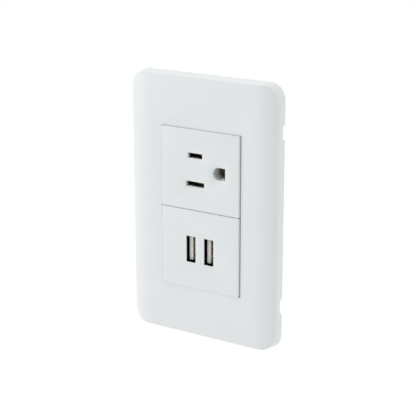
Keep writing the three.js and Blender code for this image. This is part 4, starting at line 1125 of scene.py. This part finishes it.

# %% [markdown]
# ### Capacitors and the inductor
# A capacitor of this kind is an aluminium can in a sleeve. The can is crimped near its open end,
# its closed end is bare and scored with a cross so that it can vent, and the sleeve's edge is
# rolled over. A cylinder is sliced near its open end, the crimp ring is pinched, the closed end's
# edge is bevelled round, the bare end is inset, and the score lines are cut. The inductor is a
# ferrite drum with its copper winding sunk between two flanges.

# %% Lying cans
def lying_rod(name, node, sides=40):
    """A cylinder along X that fills the node's box."""
    low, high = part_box(node)
    middle, radius = (low + high) / 2, (high.z - low.z) / 2
    deselect_all()
    bpy.ops.mesh.primitive_cylinder_add(vertices=sides, radius=radius, depth=high.x - low.x,
                                        location=middle, rotation=(0, math.pi / 2, 0))
    rod = bpy.context.object
    rod.name = rod.data.name = name
    bpy.ops.object.transform_apply(location=True, rotation=True, scale=True)
    return rod, low, high, middle, radius


def pinch(rod, middle, near_x, far_x, factor):
    """Draws in the part of a lying rod between two places."""
    for x in (near_x, near_x + (far_x - near_x) * 0.3, near_x + (far_x - near_x) * 0.7, far_x):
        slice_all((x, 0, 0), (1, 0, 0))
    inner_low, inner_high = sorted((near_x + (far_x - near_x) * 0.2,
                                    near_x + (far_x - near_x) * 0.8))
    pick_points(rod, lambda p: inner_low < p.x < inner_high)
    bpy.ops.transform.resize(value=(1, factor, factor), center_override=middle)


def electrolytic(node):
    can, low, high, middle, radius = lying_rod(f"{node}_can", node)
    open_for_editing(can)
    pinch(can, middle, low.x + 1.0 * MM, low.x + 2.2 * MM, 0.9)
    pick_faces(can, lambda place, normal: normal.x > 0.9)
    bpy.ops.mesh.bevel(offset=0.35 * MM, segments=3, affect="EDGES")
    pick_faces(can, lambda place, normal: normal.x > 0.99)
    bpy.ops.mesh.inset(thickness=0.5 * MM)
    bpy.ops.transform.translate(value=(-0.12 * MM, 0, 0))
    close_editing()
    for wide, tall in ((radius * 0.55, 0.12 * MM), (0.12 * MM, radius * 0.55)):
        score = add_block("score", (high.x - 0.3 * MM, middle.y - wide, middle.z - tall),
                          (high.x + 0.5 * MM, middle.y + wide, middle.z + tall))
        combine(can, score, "DIFFERENCE")
    smooth(can, 40)
    fit_in(can, "root", sleeve, "capacitor_sleeve", node)
    can.data.materials.append(aluminium)
    for face in can.data.polygons:
        if face.center.x > high.x - 0.45 * MM and abs(face.normal.x) > 0.5:
            face.material_index = 1


electrolytic("input_capacitor")
electrolytic("output_capacitor")

drum, drum_low, drum_high, drum_middle = lying_rod("filter_inductor_drum",
                                                   "filter_inductor")[:4]
open_for_editing(drum)
pinch(drum, drum_middle, drum_low.x + 1.1 * MM, drum_high.x - 1.1 * MM, 0.84)
close_editing()
round_edges(drum, 0.15 * MM)
fit_in(drum, "root", ferrite, "black_epoxy", "filter_inductor")
drum.data.materials.append(copper)
for face in drum.data.polygons:
    if drum_low.x + 1.3 * MM < face.center.x < drum_high.x - 1.3 * MM:
        face.material_index = 1

# %% [markdown]
# ### Small parts with legs
# The chip and the rectifier are moulded blocks with a slight draft and thin tinned legs. A leg
# is a strip that leaves the block's side, bends down and lands on the board. One leg is
# modelled, bent by extruding it twice, and copied along each side.

# %% Blocks with legs
LEG_WIDTH, LEG_THICKNESS, LEG_REACH = 0.4 * MM, 0.15 * MM, 0.5 * MM


def bent_leg(side_x, mid_y, z, foot_y, side):
    """One gull-wing leg from a block's side at side_x down to the board at foot_y."""
    start = side_x - side * 0.1 * MM
    leg = add_block("leg", (min(start, side_x), mid_y - LEG_THICKNESS / 2, z - LEG_WIDTH / 2),
                    (max(start, side_x), mid_y + LEG_THICKNESS / 2, z + LEG_WIDTH / 2))
    open_for_editing(leg)
    pick_faces(leg, lambda place, normal: normal.x * side > 0.9)
    bpy.ops.mesh.extrude_region_move(
        TRANSFORM_OT_translate={"value": (side * LEG_REACH * 0.4, 0, 0)})
    bpy.ops.mesh.extrude_region_move(
        TRANSFORM_OT_translate={"value": (side * LEG_REACH * 0.2, foot_y - mid_y, 0)})
    bpy.ops.mesh.extrude_region_move(
        TRANSFORM_OT_translate={"value": (side * LEG_REACH * 0.4, 0, 0)})
    close_editing()
    return leg


def legged_block(node, legs_a_side, pitch, board_is_behind):
    low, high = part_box(node)
    block = add_block(f"{node}_package", low, high)
    open_for_editing(block)
    pick_points(block, lambda p: (p.y < low.y + NEAR) == board_is_behind)
    middle = (low + high) / 2
    bpy.ops.transform.resize(value=(0.93, 1, 0.93), center_override=middle)
    close_editing()
    dot = add_rod("dot", 0.25 * MM, low.y - 0.3 * MM if board_is_behind else high.y - 0.08 * MM,
                  low.y + 0.08 * MM if board_is_behind else high.y + 0.3 * MM,
                  low.x + 0.8 * MM, high.z - 0.8 * MM, 16)
    round_edges(block, 0.08 * MM, segments=2)
    combine(block, dot, "DIFFERENCE")
    fit_in(block, "root", black_epoxy, "black_epoxy", node)
    foot_y = high.y - LEG_THICKNESS / 2 if board_is_behind else low.y + LEG_THICKNESS / 2
    legs = []
    for side in (-1, 1):
        wall = high.x if side > 0 else low.x
        for k in range(legs_a_side):
            z = middle.z + (k - (legs_a_side - 1) / 2) * pitch
            legs.append(bent_leg(wall, middle.y, z, foot_y, side))
    deselect_all()
    for leg in legs:
        leg.select_set(True)
    bpy.context.view_layer.objects.active = legs[0]
    bpy.ops.object.join()
    joined = bpy.context.object
    joined.name = joined.data.name = f"{node}_legs"
    joined.data.materials.append(tin)
    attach(joined, "root")


legged_block("controller_chip", 4, 1.27 * MM, False)
legged_block("bridge_rectifier", 2, 2.5 * MM, True)

# %% [markdown]
# ### The header, the resistor and the disc
# The header between the boards is a stack of black plastic cells, one for each pin, so its long
# sides are notched. The fuse resistor is a ceramic rod with pressed caps, a little thicker at
# both ends, under its lacquer. The disc capacitor is a pressed disc dipped in lacquer, thick in
# the middle and thin at the rim.

# %% Header, resistor and disc
header_low, header_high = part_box("board_link_header")
header = merged_copy("board_link_header", "board_link_header_cells")
CELL_MM = 2.0 * MM
for k in range(1, 5):
    for side in (-1, 1):
        wall = header_high.x if side > 0 else header_low.x
        z = header_low.z + k * CELL_MM
        notch = add_block("notch", (wall - 0.3 * MM, header_low.y - 1 * MM, z - 0.2 * MM),
                          (wall + 0.3 * MM, header_high.y + 1 * MM, z + 0.2 * MM))
        combine(header, notch, "DIFFERENCE")
round_edges(header, 0.08 * MM, segments=1)
fit_in(header, "root", black_epoxy, "black_epoxy", "board_link_header")

fuse_low, fuse_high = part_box("fuse_resistor")
fuse_middle = (fuse_low + fuse_high) / 2
fuse_radius = (fuse_high.x - fuse_low.x) / 2
deselect_all()
bpy.ops.mesh.primitive_cylinder_add(vertices=32, radius=fuse_radius,
                                    depth=fuse_high.z - fuse_low.z, location=fuse_middle)
fuse = bpy.context.object
fuse.name = fuse.data.name = "fuse_resistor_lacquered"
bpy.ops.object.transform_apply(location=True, rotation=True, scale=True)
open_for_editing(fuse)
for z in (fuse_low.z + 1.2 * MM, fuse_low.z + 1.8 * MM, fuse_high.z - 1.8 * MM,
          fuse_high.z - 1.2 * MM):
    slice_all((0, 0, z), (0, 0, 1))
pick_points(fuse, lambda p: fuse_low.z + 1.5 * MM < p.z < fuse_high.z - 1.5 * MM)
bpy.ops.transform.resize(value=(0.86, 0.86, 1), center_override=fuse_middle)
close_editing()
round_edges(fuse, 0.5 * MM, segments=4)
fit_in(fuse, "root", resistor_lacquer, "resistor_lacquer", "fuse_resistor")

disc = lying_rod("safety_capacitor_dipped", "safety_capacitor", 48)[0]
open_for_editing(disc)
pick_faces(disc, lambda place, normal: abs(normal.x) > 0.9)
bpy.ops.mesh.bevel(offset=0.95 * MM, segments=5, profile=0.5, affect="EDGES")
close_editing()
smooth(disc, 60)
fit_in(disc, "root", disc_lacquer, "disc_lacquer", "safety_capacitor")

# %% [markdown]
# ## The studio
# A white object on white needs light that is almost even, so that its edges show as quiet greys
# and not as hard shadows. The surroundings glow, one big softbox stands to the upper left, and a
# plain pale floor lies well below, wide enough to reach the horizon, where its bounce fills the
# underside.
#
# An even glow would leave the rolled edge of the plate without shape. So one end of the room is
# dimmer: the dot product of a direction with that end says how far it points there, and a map
# range turns this into brightness. The end is fixed in the room and doesn't follow the camera.
# The camera itself sees plain white beyond the floor, which the larger of the two values gives.

# %% Floor, light and colour
FLOOR_DROP, FLOOR_SIZE = 0.30, 60
deselect_all()
bpy.ops.mesh.primitive_plane_add(size=FLOOR_SIZE, location=(0, 0, plate_low.z - FLOOR_DROP))
floor = bpy.context.object
floor.name = "studio_floor"
paper, paper_shader, paper_place = start_material("matt_white_paper", "#fcfcfc", 0.9)
fleck = add_node(paper, "ShaderNodeTexNoise", {}, {"Scale": per_metre(2), "Detail": 2},
                 {"Vector": paper_place})
paper_bump = add_node(paper, "ShaderNodeBump", {}, {"Strength": 0.05, "Distance": 0.1 * MM},
                      {"Height": fleck.outputs["Fac"]})
drive(paper, paper_shader, Normal=paper_bump.outputs["Normal"])
floor.data.materials.append(paper)

world = bpy.data.worlds.new("even_studio")
bpy.context.scene.world = world
world.use_nodes = True
surround = world.node_tree.nodes["Background"]
surround.inputs["Color"].default_value = linear("#ffffff")
DIM_END = Vector((0.55, -0.80, 0.10)).normalized()
DIM_STARTS, DIM_COMPLETE = 0.3, 0.95
BRIGHT_GLOW, DIM_GLOW = 1.13, 0.5
direction = add_node(world, "ShaderNodeTexCoord")
facing = add_node(world, "ShaderNodeVectorMath", {"operation": "DOT_PRODUCT"},
                  {1: DIM_END}, {0: direction.outputs["Generated"]})
dim_front = add_node(world, "ShaderNodeMapRange", {"interpolation_type": "SMOOTHSTEP"},
                     {"From Min": DIM_STARTS, "From Max": DIM_COMPLETE,
                      "To Min": BRIGHT_GLOW, "To Max": DIM_GLOW},
                     {"Value": facing.outputs["Value"]})
ray = add_node(world, "ShaderNodeLightPath")
glow = add_node(world, "ShaderNodeMath", {"operation": "MAXIMUM"}, {},
                {0: dim_front.outputs["Result"], 1: ray.outputs["Is Camera Ray"]})
world.node_tree.links.new(glow.outputs["Value"], surround.inputs["Strength"])
bpy.context.scene.view_settings.view_transform = "Standard"


def add_softbox(name, place, size, power):
    """A square area light aimed at the middle of the outlet."""
    bpy.ops.object.light_add(type="AREA", location=place)
    light = bpy.context.object
    light.name = name
    light.data.size = size
    light.data.energy = power
    light.rotation_euler = Vector(place).to_track_quat("Z", "Y").to_euler()
    print(name, "at", place)


add_softbox("key_softbox", (-0.45, -0.30, 0.20), 0.35, 0.75)
